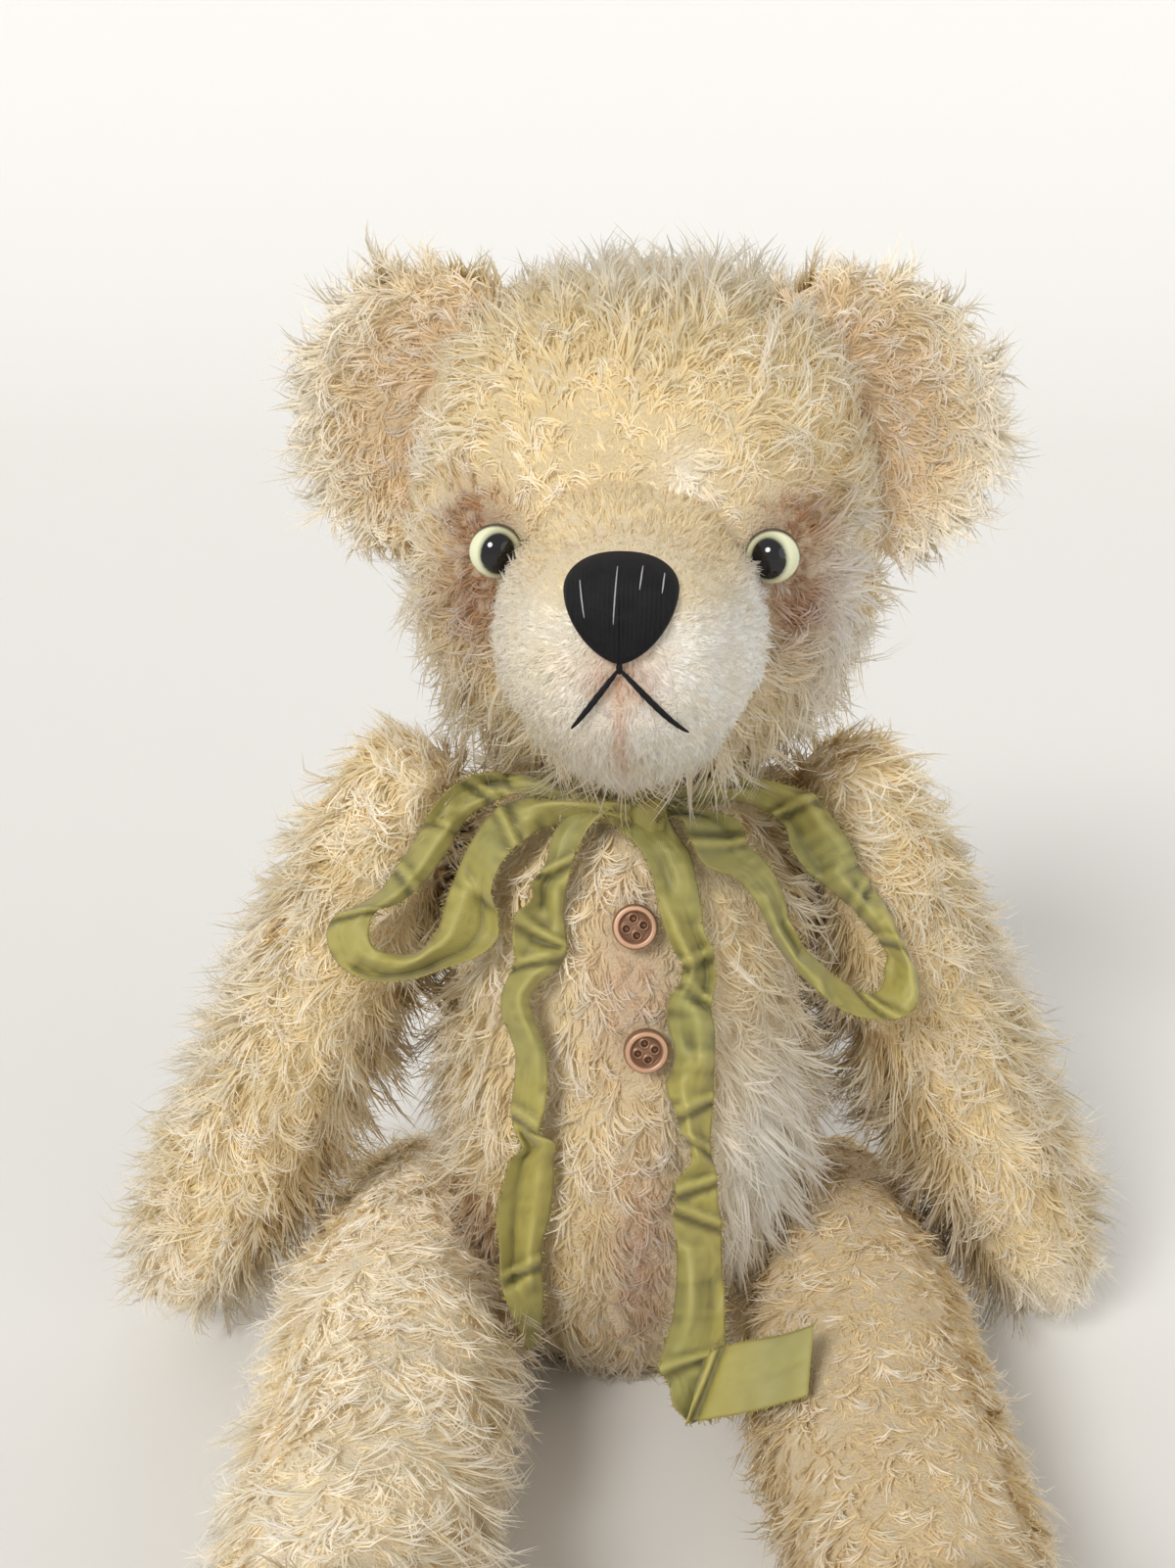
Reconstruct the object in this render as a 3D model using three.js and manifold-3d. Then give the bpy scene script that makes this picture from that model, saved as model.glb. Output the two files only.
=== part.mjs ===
// A jointed mohair teddy bear, sitting, with a crinkled ribbon bow and two metal buttons.
// Millimetres, +Z up. The bear faces -Y and its left side is +X.
// The origin lies on the floor, in the flat of the seat, below the neck.
import * as THREE from "three";
import { mergeVertices } from "three/addons/utils/BufferGeometryUtils.js";
import Module from "manifold-3d";

const wasm = await Module();
wasm.setup();

// Fits
const CLEARANCE = 0.3; // between pieces that touch
const JOINT_GAP = 0.4; // between a limb and the torso at a disc joint

// Torso
const NECK_HEIGHT = 168; // floor to the neck joint
const NECK_PROUD = 2; // how far the neck stands above the torso's rounded form
const TORSO_HEIGHT = NECK_HEIGHT - NECK_PROUD;
const TORSO_WIDTH = 94;
const TORSO_DEPTH = 97;
const SEAT_SINK = 14; // how far the rounded form runs below the flat of the seat
const NECK_RADIUS = 25;
const NECK_SIDE = 3; // the neck stands this far to the bear's left

// Head
const HEAD_HEIGHT = 112;
const HEAD_WIDTH = 112;
const HEAD_DEPTH = 102;
const HEAD_TURN = 4.2; // degrees to the bear's right
const CHIN_TUCK = 8; // how far the rounded form runs below the flat of the neck
const MUZZLE_WIDTH = 56;
const MUZZLE_HEIGHT = 54;
const MUZZLE_LENGTH = 82;
const MUZZLE_FRONT = 93; // neck axis to the tip of the muzzle
const MUZZLE_RISE = 45; // head base to the middle of the muzzle

// Ears
const EAR_LENGTH = 72;
const EAR_REACH = 31; // middle of the ear's root to its outer edge
const EAR_THICKNESS = 12;
const EAR_CUP = 7; // how far the rim comes forward of the middle
const EAR_LEAN = 30; // degrees
const EAR_TURN = 10; // degrees that the ear looks outward
const EAR_RISE = 82; // head base to the middle of the ear's root
const EAR_BURY = 6; // head side to the middle of the ear's root
const EAR_BACK = 4;

// Glass eyes
const EYE_DIAMETER = 12;
const EYE_SPACING = 60;
const EYE_RISE = 58.5;
const EYE_PROUD = 5.6;
const EYE_WIRE = 1.6;
const EYE_WIRE_LENGTH = 9;

// Embroidered nose and mouth
const NOSE_WIDTH = 22;
const NOSE_HEIGHT = 20.5;
const NOSE_RISE = 59.8; // head base to the middle of the nose
const NOSE_PAD = 2.4;
const MOUTH_STEM = 1.6;
const MOUTH_STROKES = { right: { reach: 9.7, drop: 12.6 }, left: { reach: 13.7, drop: 13.8 } };
const STITCH_WIDTH = 1.8;
const STITCH_PAD = 1.2;

// Arms
const ARM_LENGTH = 148; // joint to paw end
const ARM_TOP = 23; // joint to the top of the shoulder
const ARM_WIDTH = 42;
const ARM_DEPTH = 45;
const ARM_BEND = 8; // how far the paw comes forward
const ARM_SPLAY = { left: 21, right: 23 }; // degrees from hanging straight down
const SHOULDER_SPREAD = 43; // middle of the torso to the joint's face
const SHOULDER_DROP = 28; // neck joint down to the shoulder joints
const SHOULDER_HEIGHT = NECK_HEIGHT - SHOULDER_DROP;
const SHOULDER_SEAT = 26; // radius of the flat that the arm turns on

// Legs
const LEG_LENGTH = 186; // hip joint to the sole
const LEG_WIDTH = 60;
const LEG_DEPTH = 53;
const HIP_BACK = 28; // hip joint to the back of the thigh
const HIP_SPREAD = 31; // middle of the torso to the joint's face
const HIP_OFFSET = 3; // how far the hip joint lies behind the neck
const HIP_HEIGHT = 25.5;
const FOOT_HEIGHT = 62;
const FOOT_WIDTH = 58;
const FOOT_DEPTH = 44;
const SOLE_PAD = 1.8;

// Disc joints
const FABRIC = 1.6; // mohair cloth between a disc and the joint's face
const DISC_RADIUS = 11.5;
const DISC_THICKNESS = 3;
const WASHER_RADIUS = 6;
const WASHER_THICKNESS = 0.8;
const PIN_RADIUS = 1.1;
const PIN_BAR = 7; // length of the pin's cross bar
const PIN_CURL = 2.6; // radius of the curl of each leg of the pin
const POCKET_DEPTH = 14.5;
const JOINT_SIDES = 10; // facets of a disc and of its pocket

// Buttons
const BUTTON_DIAMETER = 10.6;
const BUTTON_THICKNESS = 2.4;
const BUTTON_RIM = 1.5;
const BUTTON_DISH = 1.1; // depth of the dish inside the rim
const BUTTON_HOLE = 1.5;
const BUTTON_HOLE_SPACING = 2.9;
const BUTTON_SHANK = 3;
const BUTTON_SHANK_LENGTH = 5;
const BUTTON_DROPS = { upper: 23.5, lower: 52 }; // below the ribbon's knot
const BUTTON_SIDES = { upper: 1, lower: 3.6 };

// Ribbon bow
const RIBBON_WIDTH = 16;
const RUMPLE = 0.75; // share of its width that the rumpled ribbon takes
const RIBBON_THICKNESS = 0.9; // with its crinkles pressed flat
const RIBBON_LIFT = 1.2; // the fur that the ribbon presses down
const RIBBON_LAYER = 1.5; // how far the upper half of a loop lies above the lower half
const CRINKLE = 0.8;
const CRINKLE_STEP = 8; // mm from one crinkle to the next
const GATHER = 0.4; // share of the ribbon's width at the knot
const GATHER_LENGTH = 32; // knot to where the ribbon is spread to its full width
const COLLAR_HEIGHT = 7.5; // the ribbon gathered round the neck
const COLLAR_THICKNESS = 1.6;
const KNOT_WIDTH = 15;
const KNOT_HEIGHT = 13;
const KNOT_DEPTH = 10;
const LAY_TILT = 30; // degrees: the bow is laid out as seen from this far above

// The bow's halves, as [across, up] places from the knot. The bear's left is positive.
const RIGHT_LOOP = {
  under: [[-3, 0], [-32, 5], [-48, -3], [-58, -12], [-69, -24], [-73, -34]],
  over: [[-3, 0], [-26, -6], [-35, -17], [-44, -28], [-55, -37], [-67, -37], [-74, -28]],
};
const LEFT_LOOP = {
  under: [[3, 0], [25, 5], [39, 3], [50, -9], [61, -25], [65, -40]],
  over: [[3, 0], [22, -6], [30, -18], [38, -33], [48, -43], [59, -45], [66, -34]],
};
const RIGHT_TAIL = [
  [-2, 0], [-15, -6], [-21, -16], [-25, -33], [-28, -48], [-25, -64], [-26, -80], [-29, -100], [-27, -125],
];
const LEFT_TAIL = [
  [0, 0], [8, -11], [14, -26], [15, -40], [15, -56], [13, -72], [14, -84], [12, -108], [12, -125], [10, -141],
];
const TAIL_END = [[7, -137], [16, -141], [28, -133], [42, -124]]; // folded aside, over the left thigh

const COLOURS = {
  mohair: 0xcdb98d,
  suede: 0xb79a6f,
  glass: 0xd8dfb4,
  floss: 0x15131a,
  ribbon: 0x8f9438,
  copper: 0xb0714f,
  hardboard: 0x8a6a45,
  steel: 0xa9abad,
};

const radians = THREE.MathUtils.degToRad;

function material(colour, roughness, metalness = 0) {
  return new THREE.MeshStandardMaterial({ color: colour, roughness, metalness });
}

const MOHAIR = material(COLOURS.mohair, 0.95);
const SUEDE = material(COLOURS.suede, 0.9);
const GLASS = material(COLOURS.glass, 0.08);
const FLOSS = material(COLOURS.floss, 0.6);
const RIBBON = material(COLOURS.ribbon, 0.55);
const COPPER = material(COLOURS.copper, 0.35, 1);
const HARDBOARD = material(COLOURS.hardboard, 0.85);
const STEEL = material(COLOURS.steel, 0.35, 1);

// A closed geometry as a solid that can be joined and cut.
function solid(geometry) {
  const bare = new THREE.BufferGeometry();
  bare.setAttribute("position", geometry.getAttribute("position").clone());
  if (geometry.index) bare.setIndex(geometry.index.clone());
  const merged = mergeVertices(bare, 1e-4);
  const vertProperties = new Float32Array(merged.attributes.position.array);
  const triVerts = new Uint32Array(merged.index.array);
  return new wasm.Manifold(new wasm.Mesh({ numProp: 3, vertProperties, triVerts }));
}

function geometryOf(made) {
  const { vertProperties, triVerts } = made.getMesh();
  const geometry = new THREE.BufferGeometry();
  geometry.setAttribute("position", new THREE.Float32BufferAttribute(vertProperties, 3));
  geometry.setIndex(Array.from(triVerts));
  geometry.computeVertexNormals();
  return geometry;
}

function mesh(name, shape, finish) {
  const made = new THREE.Mesh(shape.isBufferGeometry ? shape : geometryOf(shape), finish.clone());
  made.name = name;
  return made;
}

function placed(made, frame) {
  made.applyMatrix4(frame);
  return made;
}

// The outer skin of the largest piece of a solid, so that the hollows sealed between folds are filled.
function outerSkin(made) {
  return made.decompose().reduce((best, next) => (next.volume() > best.volume() ? next : best));
}

function cut(base, ...tools) {
  return tools.reduce((left, tool) => left.subtract(tool), base);
}

// A smooth value along evenly spaced control values, at t from 0 to 1.
function along(values, t) {
  return new THREE.SplineCurve(values.map((value, i) => new THREE.Vector2(i, value))).getPoint(t).y;
}

// A stuffed form about the Z axis. Its rings are ellipses whose half width and half depth are shares
// of the given sizes, as are their shifts, and sin(angle) to the power blunt draws them in to a pole
// at each end.
function stuffed({ low, high, width, depth, wide, deep, shiftX = [0, 0], shiftY = [0, 0], ...options }) {
  const { blunt = 0.6, sides = 24, rings = 14, grow = 0 } = options;
  const positions = [];
  const index = [];
  const [from, to] = [low - grow, high + grow];
  for (let i = 0; i <= rings; i++) {
    const angle = (Math.PI * i) / rings;
    const t = (1 - Math.cos(angle)) / 2;
    const draw = Math.sin(angle) ** blunt;
    const halfWide = (along(wide, t) * width / 2 + grow) * draw;
    const halfDeep = (along(deep, t) * depth / 2 + grow) * draw;
    const pole = i === 0 || i === rings;
    for (let j = 0; j < (pole ? 1 : sides); j++) {
      const turn = (2 * Math.PI * j) / sides;
      const x = along(shiftX, t) * width + (pole ? 0 : halfWide * Math.cos(turn));
      const y = along(shiftY, t) * depth + (pole ? 0 : halfDeep * Math.sin(turn));
      positions.push(x, y, from + (to - from) * t);
    }
  }
  const start = (i) => (i === 0 ? 0 : 1 + (i - 1) * sides);
  for (let j = 0; j < sides; j++) {
    const next = (j + 1) % sides;
    index.push(0, start(1) + next, start(1) + j);
    for (let i = 1; i < rings - 1; i++) {
      const [a, b] = [start(i), start(i + 1)];
      index.push(a + j, a + next, b + next, a + j, b + next, b + j);
    }
    index.push(start(rings), start(rings - 1) + j, start(rings - 1) + next);
  }
  const geometry = new THREE.BufferGeometry();
  geometry.setAttribute("position", new THREE.Float32BufferAttribute(positions, 3));
  geometry.setIndex(index);
  return geometry;
}

// A turned solid about the X axis from [along the axis, radius] points, as a disc joint is stacked.
function turnedX(profile, sides) {
  const points = profile.map(([x, radius]) => new THREE.Vector2(radius, x));
  return new THREE.LatheGeometry(points, sides).rotateZ(-Math.PI / 2);
}

// A round rod along X between two places on the axis.
function rodX(from, to, radius, sides = 16) {
  return turnedX([[from, 0], [from, radius], [to, radius], [to, 0]], sides);
}

// A flat ring along X.
function ringX(from, to, inner, outer, sides) {
  return turnedX([[from, inner], [from, outer], [to, outer], [to, inner], [from, inner]], sides);
}

function block(from, to) {
  const size = new THREE.Vector3().subVectors(to, from);
  return new THREE.BoxGeometry(size.x, size.y, size.z).translate(
    (from.x + to.x) / 2, (from.y + to.y) / 2, (from.z + to.z) / 2);
}

const FAR = 400; // larger than the bear

const belowFloor = () => solid(block(new THREE.Vector3(-FAR, -FAR, -FAR), new THREE.Vector3(FAR, FAR, 0)));

// The place where each disc joint lies: its X axis runs from the torso out into the limb.
function jointFrame(position, towards) {
  const turn = new THREE.Quaternion().setFromUnitVectors(new THREE.Vector3(1, 0, 0), towards);
  return new THREE.Matrix4().compose(position, turn, new THREE.Vector3(1, 1, 1));
}

function shoulderFrame(side) {
  const sign = side === "left" ? 1 : -1;
  const splay = radians(ARM_SPLAY[side]);
  const towards = new THREE.Vector3(sign * Math.cos(splay), 0, Math.sin(splay));
  return jointFrame(new THREE.Vector3(sign * SHOULDER_SPREAD, 0, SHOULDER_HEIGHT), towards);
}

function hipFrame(side) {
  const sign = side === "left" ? 1 : -1;
  const place = new THREE.Vector3(sign * HIP_SPREAD, HIP_OFFSET, HIP_HEIGHT);
  return jointFrame(place, new THREE.Vector3(sign, 0, 0));
}

function neckFrame() {
  return jointFrame(new THREE.Vector3(NECK_SIDE, 0, NECK_HEIGHT), new THREE.Vector3(0, 0, 1));
}

// Disc joint

const HALF_GAP = JOINT_GAP / 2;
const DISC_AT = HALF_GAP + FABRIC + CLEARANCE; // joint's face to the near side of a disc
const WASHER_AT = DISC_AT + DISC_THICKNESS + CLEARANCE;
const PIN_AT = WASHER_AT + WASHER_THICKNESS + CLEARANCE;
const PIN_HOLE = PIN_RADIUS + CLEARANCE;

// The room that a joint needs inside the stuffing: the pin's hole in the cloth and the disc's pocket.
// It runs to +X for the limb, and to -X for the torso.
function jointRoom(sign) {
  const pocket = rodX(HALF_GAP + FABRIC, POCKET_DEPTH, DISC_RADIUS + 2 * CLEARANCE, JOINT_SIDES);
  const hole = rodX(-1, POCKET_DEPTH / 2, PIN_HOLE, 6);
  const room = solid(pocket).add(solid(hole));
  if (sign > 0) return geometryOf(room);
  return geometryOf(room).rotateY(Math.PI);
}

function disc(sign) {
  const shape = ringX(DISC_AT, DISC_AT + DISC_THICKNESS, PIN_HOLE, DISC_RADIUS, JOINT_SIDES);
  return sign > 0 ? shape : shape.rotateY(Math.PI);
}

function washer(sign) {
  const shape = ringX(WASHER_AT, WASHER_AT + WASHER_THICKNESS, PIN_HOLE, WASHER_RADIUS, 8);
  return sign > 0 ? shape : shape.rotateY(Math.PI);
}

// A tube of six sides along a curve.
function tube(curve, radius, steps) {
  const section = new THREE.Shape();
  for (let i = 0; i < 6; i++) {
    const turn = (Math.PI * i) / 3;
    const point = [radius * Math.cos(turn), radius * Math.sin(turn)];
    if (i === 0) section.moveTo(...point);
    else section.lineTo(...point);
  }
  section.closePath();
  return new THREE.ExtrudeGeometry(section, { steps, extrudePath: curve, bevelEnabled: false });
}

// A cotter pin: a cross bar in the limb, a straight shaft, and two legs curled back in the torso.
function cotterPin() {
  const shaft = rodX(-PIN_AT - PIN_RADIUS, PIN_AT + PIN_RADIUS, PIN_RADIUS, 6);
  const bar = rodX(-PIN_BAR / 2, PIN_BAR / 2, PIN_RADIUS, 6).rotateZ(Math.PI / 2);
  bar.translate(PIN_AT + PIN_RADIUS, 0, 0);
  const legs = [1, -1].map((sign) => {
    const points = [0, 90, 180].map((degrees) => {
      const turn = radians(degrees);
      const out = PIN_CURL * (1 - Math.cos(turn));
      const down = PIN_CURL * Math.sin(turn);
      return new THREE.Vector3(-PIN_AT - PIN_RADIUS - down, sign * out, 0);
    });
    return solid(tube(new THREE.CatmullRomCurve3(points), PIN_RADIUS * 0.8, 3));
  });
  return legs.reduce((all, leg) => all.add(leg), solid(shaft).add(solid(bar)));
}

// Head, in its own frame: the origin is the neck joint, and the head looks along -Y.

function cranium(grow) {
  return stuffed({
    low: -CHIN_TUCK, high: HEAD_HEIGHT, width: HEAD_WIDTH, depth: HEAD_DEPTH, grow,
    wide: [0.5, 0.84, 0.98, 1, 1, 1, 0.98], deep: [0.56, 0.86, 0.97, 1, 1, 0.98, 0.92],
    shiftY: [-0.04, -0.01, 0.01, 0.02, 0.02, 0.02, 0.02], blunt: 0.5, sides: 24, rings: 13,
  });
}

function muzzle(grow) {
  return stuffed({
    low: -MUZZLE_FRONT, high: MUZZLE_LENGTH - MUZZLE_FRONT, width: MUZZLE_WIDTH, depth: MUZZLE_HEIGHT, grow,
    wide: [0.96, 1, 1, 1], deep: [1, 1, 1, 1], shiftY: [-0.08, 0.02, 0, 0], blunt: 0.45, sides: 20, rings: 10,
  }).rotateX(-Math.PI / 2).translate(0, 0, MUZZLE_RISE);
}

function headForm(grow = 0) {
  return solid(cranium(grow)).add(solid(muzzle(grow)));
}

// Where a straight look from far in front first meets a form, and the way its surface faces there.
function meet(form, from, towards) {
  const target = new THREE.Mesh(geometryOf(form), new THREE.MeshBasicMaterial({ side: THREE.DoubleSide }));
  const caster = new THREE.Raycaster(from, towards.clone().normalize());
  const [first] = caster.intersectObject(target);
  return { point: first.point, normal: first.face.normal };
}

const BACKWARD = new THREE.Vector3(0, 1, 0);

// The eye's frame: its Z axis looks out of the head, half way between straight ahead and the
// head's own surface, and its origin is the middle of the glass ball.
function eyeFrame(form, sign) {
  const from = new THREE.Vector3(sign * EYE_SPACING / 2, -FAR, EYE_RISE);
  const { point, normal } = meet(form, from, BACKWARD);
  const look = normal.clone().sub(BACKWARD).normalize();
  const centre = point.clone().addScaledVector(look, EYE_PROUD - EYE_DIAMETER / 2);
  const turn = new THREE.Quaternion().setFromUnitVectors(new THREE.Vector3(0, 0, 1), look);
  return new THREE.Matrix4().compose(centre, turn, new THREE.Vector3(1, 1, 1));
}

// A glass ball on a short wire that is sewn into the head.
function eye(grow = 0) {
  const ball = new THREE.SphereGeometry(EYE_DIAMETER / 2 + grow, 14, 8).rotateX(Math.PI / 2);
  const wireEnd = -EYE_DIAMETER / 2 - EYE_WIRE_LENGTH - grow;
  const wire = rodX(wireEnd, 0, EYE_WIRE / 2 + grow, 6).rotateY(-Math.PI / 2);
  return geometryOf(solid(ball).add(solid(wire)));
}

// What is stitched onto the muzzle: an even layer over the head, inside an outline seen from the front.
function stitchedPad(outline, thickness) {
  const depth = MUZZLE_LENGTH / 2;
  const prism = new THREE.ExtrudeGeometry(outline, { depth, bevelEnabled: false, curveSegments: 5 })
    .rotateX(Math.PI / 2).translate(0, depth - MUZZLE_FRONT - thickness, 0);
  return solid(prism).intersect(headForm(CLEARANCE + thickness)).subtract(headForm(CLEARANCE));
}

// The nose is a rounded shield: an arched top, widest a third of the way down, drawn in to a blunt tip.
function noseOutline() {
  const [half, top, tip] = [NOSE_WIDTH / 2, NOSE_RISE + NOSE_HEIGHT / 2, NOSE_RISE - NOSE_HEIGHT / 2];
  const at = (across, down) => [half * across, top - NOSE_HEIGHT * down];
  const outline = new THREE.Shape();
  outline.moveTo(...at(-0.35, 0));
  outline.lineTo(...at(0.35, 0));
  outline.bezierCurveTo(...at(0.75, 0.02), ...at(1, 0.14), ...at(1, 0.32));
  outline.bezierCurveTo(...at(1, 0.55), ...at(0.55, 0.85), ...at(0.2, 0.97));
  outline.quadraticCurveTo(...at(0.1, 1), 0, tip);
  outline.quadraticCurveTo(...at(-0.1, 1), ...at(-0.2, 0.97));
  outline.bezierCurveTo(...at(-0.55, 0.85), ...at(-1, 0.55), ...at(-1, 0.32));
  outline.bezierCurveTo(...at(-1, 0.14), ...at(-0.75, 0.02), ...at(-0.35, 0));
  return outline;
}

// Corners of one stroke of the mouth, from the stem out to its end and back under the fork.
function strokeCorners(sign, { reach, drop }, fork) {
  const half = STITCH_WIDTH / 2;
  const slope = Math.hypot(reach, drop);
  const [side, down, over] = [half * drop / slope, half * reach / slope, half * slope / reach];
  const low = fork - drop;
  return {
    stem: [sign * half, fork + over - half * drop / reach],
    outer: [sign * (reach + side), low + down],
    inner: [sign * (reach - side), low - down],
    crotch: fork - over,
  };
}

// The mouth is one line of stitches: a short stem under the nose that parts into two straight strokes.
function mouthOutline() {
  const top = NOSE_RISE - NOSE_HEIGHT / 2 - CLEARANCE;
  const right = strokeCorners(-1, MOUTH_STROKES.right, top - MOUTH_STEM);
  const left = strokeCorners(1, MOUTH_STROKES.left, top - MOUTH_STEM);
  const outline = new THREE.Shape();
  outline.moveTo(STITCH_WIDTH / 2, top);
  outline.lineTo(-STITCH_WIDTH / 2, top);
  outline.lineTo(...right.stem);
  outline.lineTo(...right.outer);
  outline.lineTo(...right.inner);
  outline.lineTo(0, (right.crotch + left.crotch) / 2);
  outline.lineTo(...left.inner);
  outline.lineTo(...left.outer);
  outline.lineTo(...left.stem);
  outline.closePath();
  return outline;
}

// An ear is a round padded disc whose rim cups forward. The head hides its inner half.
function ear(sign) {
  const shape = new THREE.SphereGeometry(1, 18, 8).rotateX(Math.PI / 2);
  const place = shape.getAttribute("position");
  for (let i = 0; i < place.count; i++) {
    const [x, y, z] = [place.getX(i), place.getY(i), place.getZ(i)];
    const cup = EAR_CUP * (x * x + z * z);
    place.setXYZ(i, x * EAR_REACH, y * EAR_THICKNESS / 2 - cup, z * EAR_LENGTH / 2);
  }
  shape.rotateY(-sign * radians(EAR_LEAN)).rotateZ(sign * radians(EAR_TURN));
  shape.translate(sign * (HEAD_WIDTH / 2 - EAR_BURY), EAR_BACK, EAR_RISE);
  return solid(shape).subtract(headForm(CLEARANCE));
}

function headGroup() {
  const group = new THREE.Group();
  group.position.set(NECK_SIDE, 0, NECK_HEIGHT);
  group.rotation.z = -radians(HEAD_TURN);
  const whole = headForm();
  const base = block(new THREE.Vector3(-FAR, -FAR, -FAR), new THREE.Vector3(FAR, FAR, HALF_GAP));
  const room = jointRoom(1).applyMatrix4(jointFrame(new THREE.Vector3(), new THREE.Vector3(0, 0, 1)));
  const frames = { left: eyeFrame(whole, 1), right: eyeFrame(whole, -1) };
  const sockets = Object.values(frames).map((frame) => solid(eye(CLEARANCE).applyMatrix4(frame)));
  group.add(mesh("head", cut(whole, solid(base), solid(room), ...sockets), MOHAIR));
  group.add(mesh("nose", stitchedPad(noseOutline(), NOSE_PAD), FLOSS));
  group.add(mesh("mouth", stitchedPad(mouthOutline(), STITCH_PAD), FLOSS));
  for (const side of ["left", "right"]) {
    group.add(placed(mesh(`${side}_eye`, eye(), GLASS), frames[side]));
    group.add(mesh(`${side}_ear`, ear(side === "left" ? 1 : -1), MOHAIR));
  }
  return group;
}

// Arms, in the frame of the shoulder joint: X runs outward along the joint, Z up along the arm.

function armForm(sign) {
  return stuffed({
    low: -ARM_LENGTH, high: ARM_TOP, width: ARM_WIDTH, depth: ARM_DEPTH,
    wide: [0.9, 0.98, 0.98, 1, 1, 0.96], deep: [0.86, 0.92, 0.96, 0.98, 1.02, 1],
    shiftX: [0.53, 0.5, 0.44, 0.41, 0.41, 0.41].map((share) => sign * share),
    shiftY: [1, 0.6, 0.2, 0, 0, 0].map((share) => -share * ARM_BEND / ARM_DEPTH),
    blunt: 0.34, sides: 16, rings: 12,
  });
}

function arm(side) {
  const sign = side === "left" ? 1 : -1;
  const inner = block(new THREE.Vector3(-FAR, -FAR, -FAR), new THREE.Vector3(HALF_GAP, FAR, FAR));
  const room = jointRoom(1);
  if (sign < 0) {
    inner.rotateZ(Math.PI);
    room.rotateZ(Math.PI);
  }
  const group = new THREE.Group();
  group.position.set(sign * SHOULDER_SPREAD, 0, SHOULDER_HEIGHT);
  group.rotation.y = -sign * radians(ARM_SPLAY[side]);
  group.add(mesh(`${side}_arm`, cut(solid(armForm(sign)), solid(inner), solid(room)), MOHAIR));
  return group;
}

// Legs, in the frame of the hip joint: X runs outward along the joint, and the leg points along -Y.

function legForm(sign, grow = 0) {
  const toe = sign * 0.49;
  const middle = sign * 0.445;
  const shaft = stuffed({
    low: -LEG_LENGTH, high: HIP_BACK, width: LEG_WIDTH, depth: LEG_DEPTH, grow,
    wide: [0.97, 0.97, 0.98, 1, 1, 0.88, 0.7], deep: [0.94, 0.92, 0.92, 0.95, 1, 1, 1],
    shiftX: [toe, toe, toe, middle, middle, middle, middle], blunt: 0.34, sides: 16, rings: 10,
  }).rotateX(-Math.PI / 2);
  const foot = stuffed({
    low: -HIP_HEIGHT, high: FOOT_HEIGHT - HIP_HEIGHT, width: FOOT_WIDTH, depth: FOOT_DEPTH, grow,
    wide: [0.84, 0.92, 0.98, 1, 0.94], deep: [1, 1.04, 1, 0.86, 0.74],
    blunt: 0.4, sides: 16, rings: 8,
  }).translate(toe * LEG_WIDTH, FOOT_DEPTH * 0.3 - LEG_LENGTH, 0);
  return solid(shaft).add(solid(foot));
}

function leg(side) {
  const sign = side === "left" ? 1 : -1;
  const sole = -LEG_LENGTH;
  const inner = block(new THREE.Vector3(-FAR, -FAR, -FAR), new THREE.Vector3(HALF_GAP, FAR, FAR));
  const ahead = block(new THREE.Vector3(-FAR, -FAR, -FAR), new THREE.Vector3(FAR, sole, FAR));
  const floor = block(new THREE.Vector3(-FAR, -FAR, -FAR), new THREE.Vector3(FAR, FAR, -HIP_HEIGHT));
  const room = jointRoom(1);
  if (sign < 0) {
    inner.rotateZ(Math.PI);
    room.rotateZ(Math.PI);
  }
  const group = new THREE.Group();
  group.position.set(sign * HIP_SPREAD, HIP_OFFSET, HIP_HEIGHT);
  const made = cut(legForm(sign), solid(inner), solid(ahead), solid(floor), solid(room));
  group.add(mesh(`${side}_leg`, made, MOHAIR));
  const padBack = sole - CLEARANCE;
  const slab = block(new THREE.Vector3(-FAR, padBack - SOLE_PAD, -FAR), new THREE.Vector3(FAR, padBack, FAR));
  const pad = legForm(sign).intersect(solid(slab)).subtract(solid(floor));
  group.add(mesh(`${side}_foot_pad`, pad, SUEDE));
  return group;
}

// Torso

function torsoForm(grow = 0) {
  const trunk = stuffed({
    low: -SEAT_SINK, high: TORSO_HEIGHT, width: TORSO_WIDTH, depth: TORSO_DEPTH, grow,
    wide: [0.6, 0.86, 0.98, 1, 1, 1.08, 1], deep: [0.62, 0.9, 1, 1, 0.96, 0.9, 0.8],
    shiftY: [0, -0.02, -0.03, -0.03, -0.02, -0.01, 0], blunt: 0.36, sides: 24, rings: 13,
  });
  const neck = rodX(SHOULDER_HEIGHT, NECK_HEIGHT - HALF_GAP, NECK_RADIUS + grow, 20).rotateY(-Math.PI / 2);
  return solid(trunk).add(solid(neck.translate(NECK_SIDE, 0, 0))).subtract(belowFloor());
}

// The hollow that a seated thigh presses into the torso: the leg itself, and the round that its
// upper end sweeps as it turns.
function thighRoom(side) {
  const sign = side === "left" ? 1 : -1;
  const sweep = Math.max(HIP_BACK, LEG_DEPTH / 2) + JOINT_GAP;
  const round = rodX(-HALF_GAP, FAR / 4, sweep, 16);
  const inner = block(new THREE.Vector3(-FAR, -FAR, -FAR), new THREE.Vector3(-HALF_GAP, FAR, FAR));
  if (sign < 0) {
    round.rotateZ(Math.PI);
    inner.rotateZ(Math.PI);
  }
  const place = (shape) => shape.translate(sign * HIP_SPREAD, HIP_OFFSET, HIP_HEIGHT);
  const pressed = geometryOf(legForm(sign, JOINT_GAP).subtract(solid(inner)));
  return solid(place(round)).add(solid(place(pressed)));
}

// Ribbon

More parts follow.
